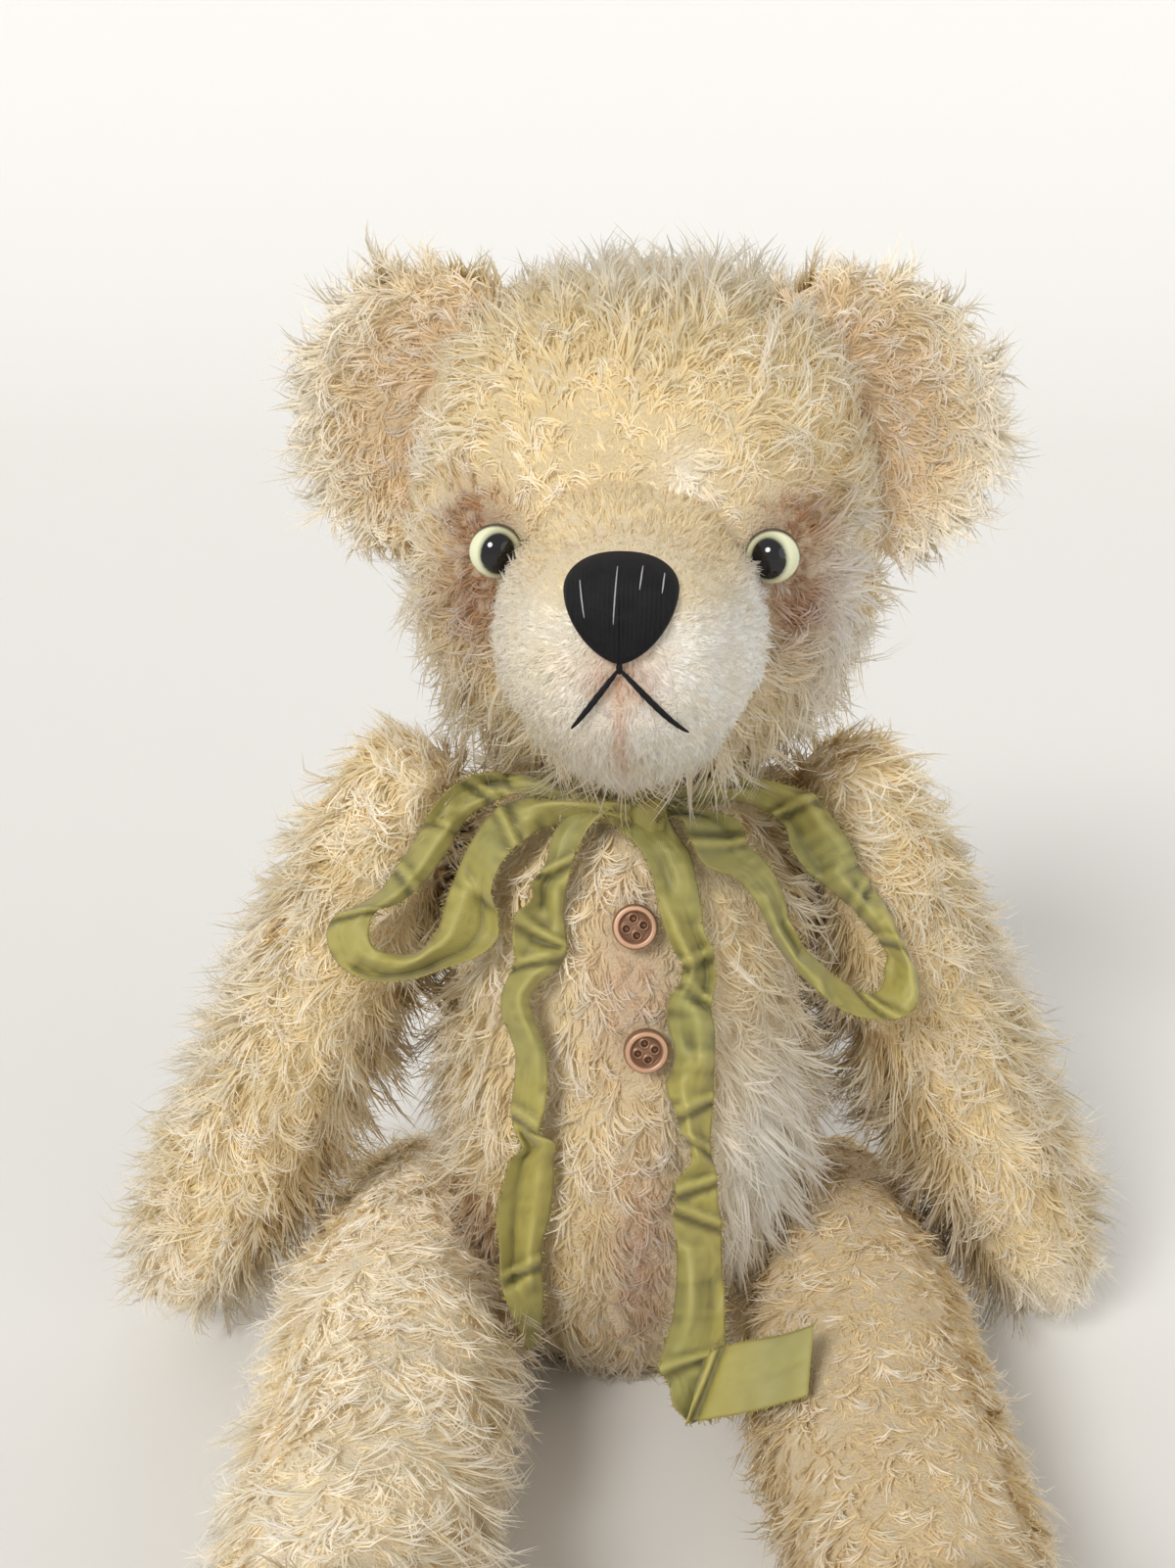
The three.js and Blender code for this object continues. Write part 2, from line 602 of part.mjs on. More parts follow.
const KNOT = new THREE.Vector3(NECK_SIDE, -NECK_RADIUS - KNOT_DEPTH / 2, NECK_HEIGHT - COLLAR_HEIGHT);
const LAY_LOOK = new THREE.Vector3(0, Math.cos(radians(LAY_TILT)), -Math.sin(radians(LAY_TILT)));
const LAY_UP = new THREE.Vector3(0, Math.sin(radians(LAY_TILT)), Math.cos(radians(LAY_TILT)));

// A place given across, up and away from the knot, as the bow is laid out.
function laidPlace(across, up, away) {
  const place = KNOT.clone().addScaledVector(LAY_UP, up).addScaledVector(LAY_LOOK, away);
  return place.setX(KNOT.x + across);
}

// What the bow lies on: the torso, the limbs and the floor.
function bowBed() {
  const whole = ["left", "right"].reduce((all, side) => {
    const sign = side === "left" ? 1 : -1;
    const limb = armForm(sign).rotateY(-sign * radians(ARM_SPLAY[side]));
    const thigh = geometryOf(legForm(sign)).translate(sign * HIP_SPREAD, HIP_OFFSET, HIP_HEIGHT);
    return all.add(solid(limb.translate(sign * SHOULDER_SPREAD, 0, SHOULDER_HEIGHT))).add(solid(thigh));
  }, torsoForm());
  const floor = solid(block(new THREE.Vector3(-FAR, -FAR, -1), new THREE.Vector3(FAR, FAR, 0)));
  return new THREE.Mesh(geometryOf(whole.add(floor)), new THREE.MeshBasicMaterial());
}

// How far behind the knot's plane the bed lies at a place of the layout.
function bedDepth(bed, across, up) {
  const caster = new THREE.Raycaster(laidPlace(across, up, -FAR), LAY_LOOK);
  return caster.intersectObject(bed)[0].distance - FAR;
}

// Draws a row of depths tight, so that it bridges hollows as a ribbon does.
function drawTight(depths) {
  const tight = [...depths];
  for (let pass = 0; pass < depths.length; pass++) {
    for (let i = 1; i < tight.length - 1; i++) {
      tight[i] = Math.min(tight[i], (tight[i - 1] + tight[i + 1]) / 2);
    }
  }
  return tight;
}

// A strip of ribbon laid along a path from the knot, where it is gathered, crinkled towards the eye.
function strip(bed, path, liftFrom, liftTo, gather = GATHER) {
  const curve = new THREE.SplineCurve(path.map(([across, up]) => new THREE.Vector2(across, up)));
  const steps = Math.ceil(curve.getLength() / CRINKLE_STEP);
  const rows = [-1, 1].map((edge) => {
    const spots = Array.from({ length: steps + 1 }, (_, i) => {
      const open = THREE.MathUtils.smoothstep(i * CRINKLE_STEP, 0, GATHER_LENGTH);
      const spread = THREE.MathUtils.lerp(gather, RUMPLE, open);
      const tangent = curve.getTangentAt(i / steps);
      const aside = new THREE.Vector2(-tangent.y, tangent.x).multiplyScalar(edge * spread * RIBBON_WIDTH / 2);
      return curve.getPointAt(i / steps).add(aside);
    });
    const depths = drawTight(spots.map((spot) => bedDepth(bed, spot.x, spot.y)));
    return spots.map((spot, i) => {
      const lift = THREE.MathUtils.lerp(liftFrom, liftTo, i / steps);
      const crinkle = CRINKLE * ((i + (edge > 0 ? 1 : 0)) % 2);
      return laidPlace(spot.x, spot.y, depths[i] - lift - crinkle);
    });
  });
  return solid(band(rows, steps));
}

// A closed band of the ribbon's thickness between two rows of places.
function band([low, high], steps) {
  const front = (row) => row.map((place) => place.clone().addScaledVector(LAY_LOOK, -RIBBON_THICKNESS));
  const rings = [low, high, front(high), front(low)];
  const positions = rings.flatMap((row) => row.flatMap((place) => place.toArray()));
  const at = (ring, i) => (ring % 4) * (steps + 1) + i;
  const index = [];
  const quad = (a, b, c, d) => index.push(a, b, c, a, c, d);
  for (let i = 0; i < steps; i++) {
    for (let ring = 0; ring < 4; ring++) {
      quad(at(ring, i), at(ring + 1, i), at(ring + 1, i + 1), at(ring, i + 1));
    }
  }
  quad(at(3, 0), at(2, 0), at(1, 0), at(0, 0));
  quad(at(0, steps), at(1, steps), at(2, steps), at(3, steps));
  const geometry = new THREE.BufferGeometry();
  geometry.setAttribute("position", new THREE.Float32BufferAttribute(positions, 3));
  geometry.setIndex(index);
  return geometry;
}

// The ribbon is one length: gathered round the neck, knotted, with two loops and two tails.
function ribbon() {
  const bed = bowBed();
  const inner = NECK_RADIUS + CLEARANCE;
  const low = NECK_HEIGHT - HALF_GAP - CLEARANCE - COLLAR_HEIGHT;
  const collar = ringX(low, low + COLLAR_HEIGHT, inner, inner + COLLAR_THICKNESS, 20)
    .rotateY(-Math.PI / 2).translate(NECK_SIDE, 0, 0);
  const knot = stuffed({
    low: -KNOT_HEIGHT / 2, high: KNOT_HEIGHT / 2, width: KNOT_WIDTH, depth: KNOT_DEPTH,
    wide: [1, 0.92, 1], deep: [1, 1, 1], blunt: 0.5, sides: 12, rings: 6,
  }).translate(KNOT.x, KNOT.y, KNOT.z);
  const top = RIBBON_LIFT + RIBBON_LAYER;
  const strips = [RIGHT_LOOP, LEFT_LOOP].flatMap(({ under, over }) => {
    return [strip(bed, under, RIBBON_LIFT, top), strip(bed, over, top, top)];
  });
  strips.push(strip(bed, RIGHT_TAIL, RIBBON_LIFT, RIBBON_LIFT));
  strips.push(strip(bed, LEFT_TAIL, RIBBON_LIFT, RIBBON_LIFT));
  strips.push(strip(bed, TAIL_END, RIBBON_LIFT, RIBBON_LIFT, 1));
  const whole = strips.reduce((all, next) => all.add(next), solid(collar).add(solid(knot)));
  return outerSkin(whole.subtract(torsoForm(CLEARANCE)));
}

// Buttons

function button() {
  const half = BUTTON_DIAMETER / 2;
  const dish = half - BUTTON_RIM;
  const top = BUTTON_THICKNESS;
  const floor = top - BUTTON_DISH;
  const points = [[0, 0], [half - 0.6, 0], [half, 0.7], [half, top - 0.7], [half - 0.7, top],
    [dish, top - 0.3], [dish - 0.3, floor], [0, floor + 0.35]];
  const plate = new THREE.LatheGeometry(points.map(([r, z]) => new THREE.Vector2(r, z)), 18);
  plate.rotateX(Math.PI / 2);
  const shank = rodX(-BUTTON_SHANK_LENGTH, 0.4, BUTTON_SHANK / 2, 8).rotateY(-Math.PI / 2);
  const holes = [0, 1, 2, 3].map((i) => {
    const turn = Math.PI / 4 + (Math.PI / 2) * i;
    const out = BUTTON_HOLE_SPACING / Math.SQRT2;
    return solid(rodX(floor - 0.6, top + 1, BUTTON_HOLE / 2, 6).rotateY(-Math.PI / 2)
      .translate(out * Math.cos(turn), out * Math.sin(turn), 0));
  });
  return cut(solid(plate).add(solid(shank)), ...holes);
}

function buttonFrame(trunk, which) {
  const from = new THREE.Vector3(BUTTON_SIDES[which], -FAR, KNOT.z - BUTTON_DROPS[which]);
  const { point, normal } = meet(trunk, from, BACKWARD);
  const turn = new THREE.Quaternion().setFromUnitVectors(new THREE.Vector3(0, 0, 1), normal);
  const seat = point.clone().addScaledVector(normal, CLEARANCE);
  return new THREE.Matrix4().compose(seat, turn, new THREE.Vector3(1, 1, 1));
}

// The hole that a button's shank is sewn into.
function shankHole(frame) {
  const hole = rodX(-BUTTON_SHANK_LENGTH - CLEARANCE, 1, BUTTON_SHANK / 2 + CLEARANCE, 8);
  return solid(hole.rotateY(-Math.PI / 2).applyMatrix4(frame));
}

const LIMB_JOINTS = {
  neck: neckFrame(),
  left_shoulder: shoulderFrame("left"),
  right_shoulder: shoulderFrame("right"),
  left_hip: hipFrame("left"),
  right_hip: hipFrame("right"),
};

function torsoGroup() {
  const group = new THREE.Group();
  const trunk = torsoForm();
  const seats = ["left", "right"].map((side) => {
    return solid(rodX(-HALF_GAP, FAR / 4, SHOULDER_SEAT, 16).applyMatrix4(shoulderFrame(side)));
  });
  const rooms = Object.values(LIMB_JOINTS).map((frame) => solid(jointRoom(-1).applyMatrix4(frame)));
  const thighs = ["left", "right"].map(thighRoom);
  const buttons = { upper: buttonFrame(trunk, "upper"), lower: buttonFrame(trunk, "lower") };
  const holes = Object.values(buttons).map(shankHole);
  group.add(mesh("torso", cut(trunk, ...thighs, ...seats, ...rooms, ...holes), MOHAIR));
  group.add(mesh("neck_ribbon", ribbon(), RIBBON));
  for (const [which, frame] of Object.entries(buttons)) {
    group.add(placed(mesh(`${which}_button`, button(), COPPER), frame));
  }
  return group;
}

// The hard pieces of one joint: a pair of discs and washers, drawn together by a cotter pin.
function jointHardware(name, frame) {
  const group = new THREE.Group();
  group.add(mesh(`${name}_limb_disc`, disc(1), HARDBOARD));
  group.add(mesh(`${name}_torso_disc`, disc(-1), HARDBOARD));
  group.add(mesh(`${name}_limb_washer`, washer(1), STEEL));
  group.add(mesh(`${name}_torso_washer`, washer(-1), STEEL));
  group.add(mesh(`${name}_pin`, cotterPin(), STEEL));
  return placed(group, frame);
}

const bear = new THREE.Group();
bear.add(torsoGroup(), headGroup(), arm("left"), arm("right"), leg("left"), leg("right"));
for (const [name, frame] of Object.entries(LIMB_JOINTS)) bear.add(jointHardware(name, frame));

export default bear;
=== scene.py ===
"""The looks of a threadbare mohair teddy bear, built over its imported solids."""

import math

import bpy
import numpy as np
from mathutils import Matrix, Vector
from mathutils.bvhtree import BVHTree


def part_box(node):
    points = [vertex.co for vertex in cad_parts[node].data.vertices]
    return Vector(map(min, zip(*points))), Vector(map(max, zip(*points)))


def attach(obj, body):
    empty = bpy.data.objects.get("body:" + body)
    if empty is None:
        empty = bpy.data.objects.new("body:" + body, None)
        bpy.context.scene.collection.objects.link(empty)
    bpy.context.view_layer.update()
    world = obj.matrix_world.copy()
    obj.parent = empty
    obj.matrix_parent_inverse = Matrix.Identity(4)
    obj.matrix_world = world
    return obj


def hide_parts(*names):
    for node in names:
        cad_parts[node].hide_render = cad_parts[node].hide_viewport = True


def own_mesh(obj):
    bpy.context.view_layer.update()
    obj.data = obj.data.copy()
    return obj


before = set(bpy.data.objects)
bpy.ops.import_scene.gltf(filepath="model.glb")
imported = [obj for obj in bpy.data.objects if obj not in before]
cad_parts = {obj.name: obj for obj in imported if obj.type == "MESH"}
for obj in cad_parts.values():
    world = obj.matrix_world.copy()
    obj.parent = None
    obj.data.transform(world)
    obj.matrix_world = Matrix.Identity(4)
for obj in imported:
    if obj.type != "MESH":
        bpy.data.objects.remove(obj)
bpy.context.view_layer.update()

bl_info = {
    "name": "Threadbare Teddy Bear",
    "version": (1, 0, 0),
    "blender": (4, 5, 0),
    "location": "View3D > Sidebar > Bear",
    "description": "Mohair, face, ribbon bow and buttons of a jointed teddy bear",
    "category": "Object",
}

MM = 0.001
SIDE_NAME = {1: "left", -1: "right"}

# Camera, light and floor: places in metres, turns in degrees.
PHOTO_WIDTH = 1200
CAMERA_FOCUS = 1974  # focal length in pixels of the photograph
CAMERA_SENSOR = 36
CAMERA_PLACE = (-0.010, -0.450, 0.330)
CAMERA_DIP = 21
LIGHT_AIM = (0, -0.02, 0.14)
# Place, strength and spread of each lamp.
SUNS = {
    "key": ((-0.55, -0.95, 0.95), 2.1, 20),
    "fill": ((0.85, -0.75, 0.55), 0.5, 50),
    "back": ((0.3, 0.9, 1.0), 1.1, 40),
}
SKY_LIGHT, SKY_SHOWN = 0.5, 0.7
STAGE_REACH, STAGE_FLAT, STAGE_BEND, STAGE_WALL = 8.0, 1.2, 1.6, 2.8

# Colours of the hidden and rubbed materials, as linear values.
RUBBED_FLOSS = (0.14, 0.13, 0.14)
BOARD_DARK, BOARD_PALE = (0.2, 0.11, 0.05), (0.32, 0.19, 0.09)
STEEL = (0.45, 0.45, 0.46)
PUPIL, EYE_EDGE = 0.004, 0.03

# Places of the bear's groups, in millimetres and degrees, as the solids have them.
NECK = (3, 0, 168)
HEAD_TURN = -4.2
SHOULDER = (43, 0, 140)
ARM_SPLAY = {1: 21, -1: 23}
HIP = (31, 3, 25.5)
KNOT = np.array([3, -30, 160.5])
MUZZLE_RISE = 45
NECK_OPENING = 27

# Stuffed forms: ends, width and depth, then shares of those along the form.
FORMS = {
    "cranium": dict(
        ends=(-8, 112), size=(112, 102), blunt=0.5,
        wide=(0.5, 0.84, 0.98, 1, 1, 1, 0.98), deep=(0.56, 0.86, 0.97, 1, 1, 0.98, 0.92),
        shift_x=(0, 0), shift_y=(-0.04, -0.01, 0.01, 0.02, 0.02, 0.02, 0.02)),
    "muzzle": dict(
        ends=(-93, -11), size=(56, 54), blunt=0.45,
        wide=(0.96, 1, 1, 1), deep=(1, 1, 1, 1), shift_x=(0, 0), shift_y=(-0.08, 0.02, 0, 0)),
    "arm": dict(
        ends=(-148, 23), size=(42, 45), blunt=0.34,
        wide=(0.9, 0.98, 0.98, 1, 1, 0.96), deep=(0.86, 0.92, 0.96, 0.98, 1.02, 1),
        shift_x=(0.53, 0.5, 0.44, 0.41, 0.41, 0.41), shift_y=(-0.18, -0.11, -0.035, 0, 0, 0)),
    "leg": dict(
        ends=(-186, 28), size=(60, 53), blunt=0.34,
        wide=(0.97, 0.97, 0.98, 1, 1, 0.88, 0.7), deep=(0.94, 0.92, 0.92, 0.95, 1, 1, 1),
        shift_x=(0.49, 0.49, 0.49, 0.445, 0.445, 0.445, 0.445), shift_y=(0, 0)),
    "foot": dict(
        ends=(-25.5, 36.5), size=(58, 44), blunt=0.4,
        wide=(0.84, 0.92, 0.98, 1, 0.94), deep=(1, 1.04, 1, 0.86, 0.74), shift_x=(0, 0), shift_y=(0, 0)),
    "trunk": dict(
        ends=(-14, 166), size=(94, 97), blunt=0.36,
        wide=(0.6, 0.86, 0.98, 1, 1, 1.08, 1), deep=(0.62, 0.9, 1, 1, 0.96, 0.9, 0.8),
        shift_x=(0, 0), shift_y=(0, -0.02, -0.03, -0.03, -0.02, -0.01, 0)),
}
EAR = dict(reach=31, length=72, thickness=12, cup=7, lean=30, turn=10, place=(50, 4, 82))
SOLE_AT = -186
MUZZLE_INSET, EAR_INSET = 1.2, 3.6
PAD_CROWN = 2.2
HALVINGS = 30

# Face, in millimetres.
EYE_RADIUS = 6.0
EYE_FRONT = 1.65  # angle from the front pole at which the painted front ends
NOSE_WIDTH, NOSE_HEIGHT, NOSE_RISE = 22.0, 20.5, 59.8
# Pale threads of the nose: across at the top and bottom in half widths, then from how far down to how far.
NOSE_THREADS = (
    (-0.71, -0.61, 0.16, 0.5), (-0.06, -0.11, 0.03, 0.6), (0.38, 0.34, 0.03, 0.22), (0.76, 0.73, 0.1, 0.26),
)
PALE_THREAD, PALE_LIFT = 0.13, 2.3
MOUTH_STEM = 1.6
MOUTH_RIGHT = (9.7, 12.6)
MOUTH_LEFT = (13.7, 13.8)
MOUTH_THREAD = 0.56

# Buttons: across and up on the trunk, then the sizes of each.
BUTTONS = {"upper_button": (1, 137), "lower_button": (3.6, 108.5)}
BUTTON = dict(radius=5.3, thick=2.4, rim=1.5, dish=1.1, holes=2.05, turn=0.2)
BUTTON_REACH, BUTTON_PROUD = 4.0, 0.9

# The bow's strips as rows of [left across, left up, right across, right up], in millimetres from the knot,
# laid out as seen from 30 degrees above. Going outwards on a loop, left is its outer edge.
LAY_TILT = math.radians(30)
LAY_LOOK = np.array([0, math.cos(LAY_TILT), -math.sin(LAY_TILT)])
LAY_UP = np.array([0, math.sin(LAY_TILT), math.cos(LAY_TILT)])
BOW = {
    "right_loop": [
        (-3, 3, -3, -2), (-19.2, 7.5, -18.3, 3), (-29.7, 11, -28.6, 5.6), (-42.4, 9.2, -38.7, 3.1),
        (-50, 2.3, -43.2, -1), (-54.2, -4.2, -46.2, -6.8), (-59, -11.4, -51.6, -14.2),
        (-63.8, -17.3, -57.8, -19.2), (-69.5, -20.3, -63, -21.5), (-74.9, -24, -64.4, -24.6),
        (-74.2, -30.8, -64.4, -28), (-69.8, -35.6, -62.7, -30.5), (-62.8, -38, -58.1, -31.4),
        (-54.7, -37.5, -53.2, -31), (-46.5, -34.9, -50.5, -28.3), (-38.9, -32.2, -48, -25),
        (-34.2, -28, -46.8, -20.1), (-34.2, -22.1, -45, -14.9), (-35.6, -17, -42.7, -9.3),
        (-33, -10.5, -40, -4.2), (-27.9, -5.6, -35.6, 1.4), (-22.9, -2.3, -29.5, 4.3),
        (-14.3, -0.6, -18.9, 4.1), (-3, -3, -3, 2),
    ],
    "left_loop": [
        (2.6, 5, 3.5, 1.4), (13.7, 7.8, 13.7, 4), (24.6, 9.5, 22.3, 4.6), (33.5, 7.9, 29.1, 2.6),
        (41.4, 5.3, 33.8, -0.8), (46.2, -0.6, 35.6, -6.3), (50, -6, 39.4, -11.4), (52.6, -11, 44.8, -15.6),
        (55.8, -15.9, 49.6, -19.6), (59.4, -20.9, 54.2, -24.5), (61.5, -27.2, 57.4, -28.6),
        (63.9, -32.2, 58.8, -31.4), (65.7, -37.2, 58.1, -34.4), (65.1, -42.7, 57.9, -37.4),
        (61.4, -46.3, 56.1, -40.1), (55.1, -46.8, 52.2, -40.3), (47.9, -45.2, 47.4, -37.5),
        (41.6, -40.6, 42.4, -33.5), (35.3, -34.2, 38, -29.4), (30.8, -27.8, 35, -24),
        (28, -22.5, 33.6, -18.7), (24.8, -17.8, 31.4, -13.4), (21.4, -14.4, 28, -9.1),
        (14.3, -11.8, 24.6, -6.3), (10.5, -5.8, 22.9, -1.7), (8.4, -0.8, 17.3, 0.8), (3, -2, 6, 2.2),
    ],
    "right_tail": [
        (-3.6, 5, 1, 4.4), (-10.6, 3.4, -6, 2), (-18.3, -0.6, -11.7, -2.2), (-21.2, -4.9, -14.5, -6.4),
        (-22.8, -11.2, -16.6, -11.7), (-25.7, -15.4, -17.8, -16.8), (-25.9, -19.6, -18.6, -22.5),
        (-29.6, -23.2, -18.1, -26.6), (-30.4, -28.4, -17.8, -30.2), (-29.8, -33.6, -19.2, -34),
        (-31.6, -37, -23.2, -37.7), (-33.1, -41.1, -26.4, -41.6), (-33.2, -45.6, -26, -45.6),
        (-31.3, -50.5, -24.1, -50.3), (-30, -55, -22.6, -55), (-30.4, -61.8, -22.4, -61.8),
        (-31.2, -67.6, -23.1, -68), (-30.4, -72.8, -24.4, -73.2), (-28.6, -76.8, -20.6, -75.8),
        (-31.5, -79.9, -21.2, -79.8), (-33.2, -85.1, -21.1, -84.3), (-35, -93.3, -22, -92.6),
        (-34.3, -101.3, -24.1, -100.4), (-34.2, -108.2, -24.2, -107.4), (-32.5, -115, -23.9, -114),
        (-30.2, -120.8, -24.5, -119.9), (-27.8, -126.4, -25.2, -126),
    ],
    "left_tail": [
        (-2, 5, 3.5, 5), (-3.9, 1.5, 4.9, 1.9), (-4.6, -4, 7.5, -3.6), (-0.2, -9.6, 10.9, -8.9),
        (2.1, -16.1, 12.3, -15), (3.5, -22.4, 13.6, -21.8), (5, -26.7, 14.3, -27),
        (7.2, -31.8, 16.2, -31.9), (9.1, -34.9, 16.8, -36.4), (8.4, -38.6, 16.2, -40.6),
        (6, -42.9, 15.9, -44.7), (5.8, -48.2, 16.6, -49), (7, -52.5, 16.8, -52.9),
        (7.4, -56.6, 16.7, -56.9), (5.5, -62.7, 16.7, -63.1), (7.7, -68.3, 16.5, -68.4),
        (8.9, -72.6, 16.2, -72.7), (11.3, -77, 16.2, -77.3), (11.1, -80.6, 17.4, -81.6),
        (8, -84.2, 18, -85), (7.9, -88.9, 18.2, -89.5), (7.4, -93.8, 19.2, -94.4),
        (8.3, -99.9, 19.3, -100.1), (8.3, -108.4, 19.5, -108), (7.1, -116.7, 19.6, -117.1),
        (4.7, -122.7, 19.3, -123.1), (3.4, -126.4, 17.4, -126), (5.8, -130.5, 16.7, -130.3),
        (7, -135.3, 16.2, -135.5), (11, -139, 15.6, -139.1),
    ],
    "tail_end": [
        (14.4, -124.5, 9.6, -138.9), (16.9, -122.6, 13.6, -138.2), (23.6, -120.6, 20.9, -136.4),
        (32, -118.6, 28.6, -134), (38.6, -116, 36.6, -131),
    ],
}
# Where sharp folds cross the strips, as shares of their lengths.
KINKS = {
    "right_loop": (0.2, 0.36, 0.44, 0.83),
    "left_loop": (0.2, 0.36, 0.44, 0.56, 0.9),
    "right_tail": (0.18, 0.29, 0.33, 0.6, 0.86),
    "left_tail": (0.27, 0.32, 0.5, 0.56, 0.63, 0.68, 0.9),
    "tail_end": (0.04,),
}
STRIP_STEP, STRIP_COLUMNS, STRIP_SMOOTH = 0.8, 23, 12
RIBBON_THICKNESS, FOLD_HEIGHT, FRAY_HALF = 0.25, 5.5, 0.11
KNOT_HALF = (5.8, 4.4, 5.4)
COLLAR_RADIUS, COLLAR_LOW, COLLAR_WIDTH = 26.6, 159.6, 7.6
LOOK_FROM = 400.0

# Fur: strands in a lock, points along a strand, lock radius and strand width in millimetres, and curl.
PLUSH = (3, 3, 1.6, 0.54, 0.8)
LOCKS = (6, 4, 1.5, 0.48, 1.3)
VELVET = (4, 3, 0.9, 0.46, 0.6)
FUR_SEED = 2024
LEAN_LIMITS = (0.05, 1.02)
LOCK_GATHER, ROOT_SINK, MIDDLE_AT = 0.5, 0.4, 0.45
PRESSED, PRESSED_LEAN, TUCKED = 0.7, 0.25, 0.35
BROW_TUFT = (10.5, -50, 75.5)
TUFT_TRIES, TUFT_LEAN = 14000, 0.85
# Least heights above the floor.
SKIN_FLOOR, STRAND_FLOOR, RIBBON_FLOOR = 0.6, 0.35, 0.5
# Patches of the coat: middle, then reach along each axis. Those of the face are in the head's frame.
PATCHES = {
    "forehead": ((-2, -46, 86), (27, 34, 22)),
    "brow": ((2, -54, 66), (20, 26, 15)),
    "pale_face": ((0, -64, 40), (44, 34, 26)),
    "tuft": (BROW_TUFT, (4, 20, 6)),
    "tuft_core": (BROW_TUFT, (3.2, 20, 4.5)),
    "under_nose": ((0, -92, 47), (7, 40, 7)),
    "muzzle_seam": ((0, -88, 32), (1.6, 40, 12)),
    "bare_belly": ((3, -45, 52), (9, 60, 34)),
    "bare_chest": ((0, -42, 122), (10, 60, 26)),
    "white_side": ((33, -38, 68), (15, 60, 40)),
    "hip_crease": ((-36, -40, 52), (12, 60, 9)),
}
BODY_OF = {"cranium": "head", "muzzle": "head", "ear": "head", "trunk": "torso"}
# Locks of plush and of long mohair on each skin.
FUR = {
    "cranium": (7600, 2400), "muzzle": (0, 8600), "trunk": (6800, 2400),
    "left_ear": (2000, 800), "right_ear": (2000, 800), "left_arm": (4300, 1500), "right_arm": (4300, 1500),
    "left_leg": (4700, 1300), "right_leg": (4700, 1700), "left_foot": (900, 300), "right_foot": (900, 300),
}


# Settings


def linear(red, green, blue):
    """A colour of 0 to 255 as the linear values that a shader takes."""
    share = np.array([red, green, blue]) / 255
    return tuple(np.where(share <= 0.04045, share / 12.92, ((share + 0.055) / 1.055) ** 2.4))


def colour(label, *rgb):
    """A colour that a user can change, from values of 0 to 255."""
    return bpy.props.FloatVectorProperty(
        name=label, description=f"Colour of the {label.lower()}", subtype="COLOR", size=3, min=0, max=1,
        default=linear(*rgb))


def length(label, description, default):
    """A length that a user can change."""
    return bpy.props.FloatProperty(name=label, description=description, default=default, min=0)


class BearSizes(bpy.types.PropertyGroup):
    """Sizes in millimetres that a user would change."""

    pile: length("Pile", "Length of a lock of mohair, in mm", 13.0)
    skin_inset: length("Skin inset", "How far the cloth lies inside the solid, in mm", 2.5)
    ribbon_width: length("Ribbon width", "Flat width of the ribbon, in mm", 16.0)
    ribbon_lift: length("Ribbon lift", "Fur pressed down under the ribbon, in mm", 2.6)
    thread: length("Thread", "Width of one stitch of the nose, in mm", 0.9)


class BearColours(bpy.types.PropertyGroup):
    """Colours of the bear's materials."""

    # Mohair goes from darker roots to paler tips: partly its own colour, partly painted shade at the roots
    # and painted highlight at the tips.
    tip: colour("Mohair tips", 248, 242, 226)
    middle: colour("Mohair", 228, 211, 172)
    base: colour("Mohair roots", 200, 172, 122)
    gold: colour("Worn mohair", 220, 194, 138)
    cloth: colour("Backing cloth", 184, 160, 118)
    bare: colour("Bare cloth", 180, 138, 110)
    shade: colour("Eye shading", 136, 80, 14)
    muzzle: colour("Muzzle", 242, 240, 234)
    blush: colour("Blush under the nose", 196, 140, 104)
    ribbon: colour("Ribbon", 160, 148, 70)
    # Dark ribbon colour: its stains, and the painted shade in its folds and in the collar's dips.
    ribbon_stain_and_shade: colour("Ribbon stains and painted fold shade", 96, 86, 38)
    ribbon_green: colour("Ribbon stains", 132, 132, 78)
    fray: colour("Frayed edges", 146, 122, 56)
    # Pale ribbon colour: its pale threads and frays, and the painted highlight on its ridges.
    ribbon_pale_and_highlight: colour("Ribbon pale threads and painted highlights", 190, 180, 104)
    iris: colour("Eye ring", 226, 228, 190)
    floss: colour("Black thread", 10, 9, 11)
    copper: colour("Copper", 206, 164, 134)
    tarnish: colour("Copper tarnish", 108, 76, 56)
    felt: colour("Foot pads", 176, 150, 108)
    floor: colour("Floor", 226, 224, 220)


def sizes():
    """The sizes now set."""
    return bpy.context.scene.bear_sizes


def tint(name):
    """A named colour now set, as linear values."""
    return np.array(getattr(bpy.context.scene.bear_colours, name))


# Shader sockets


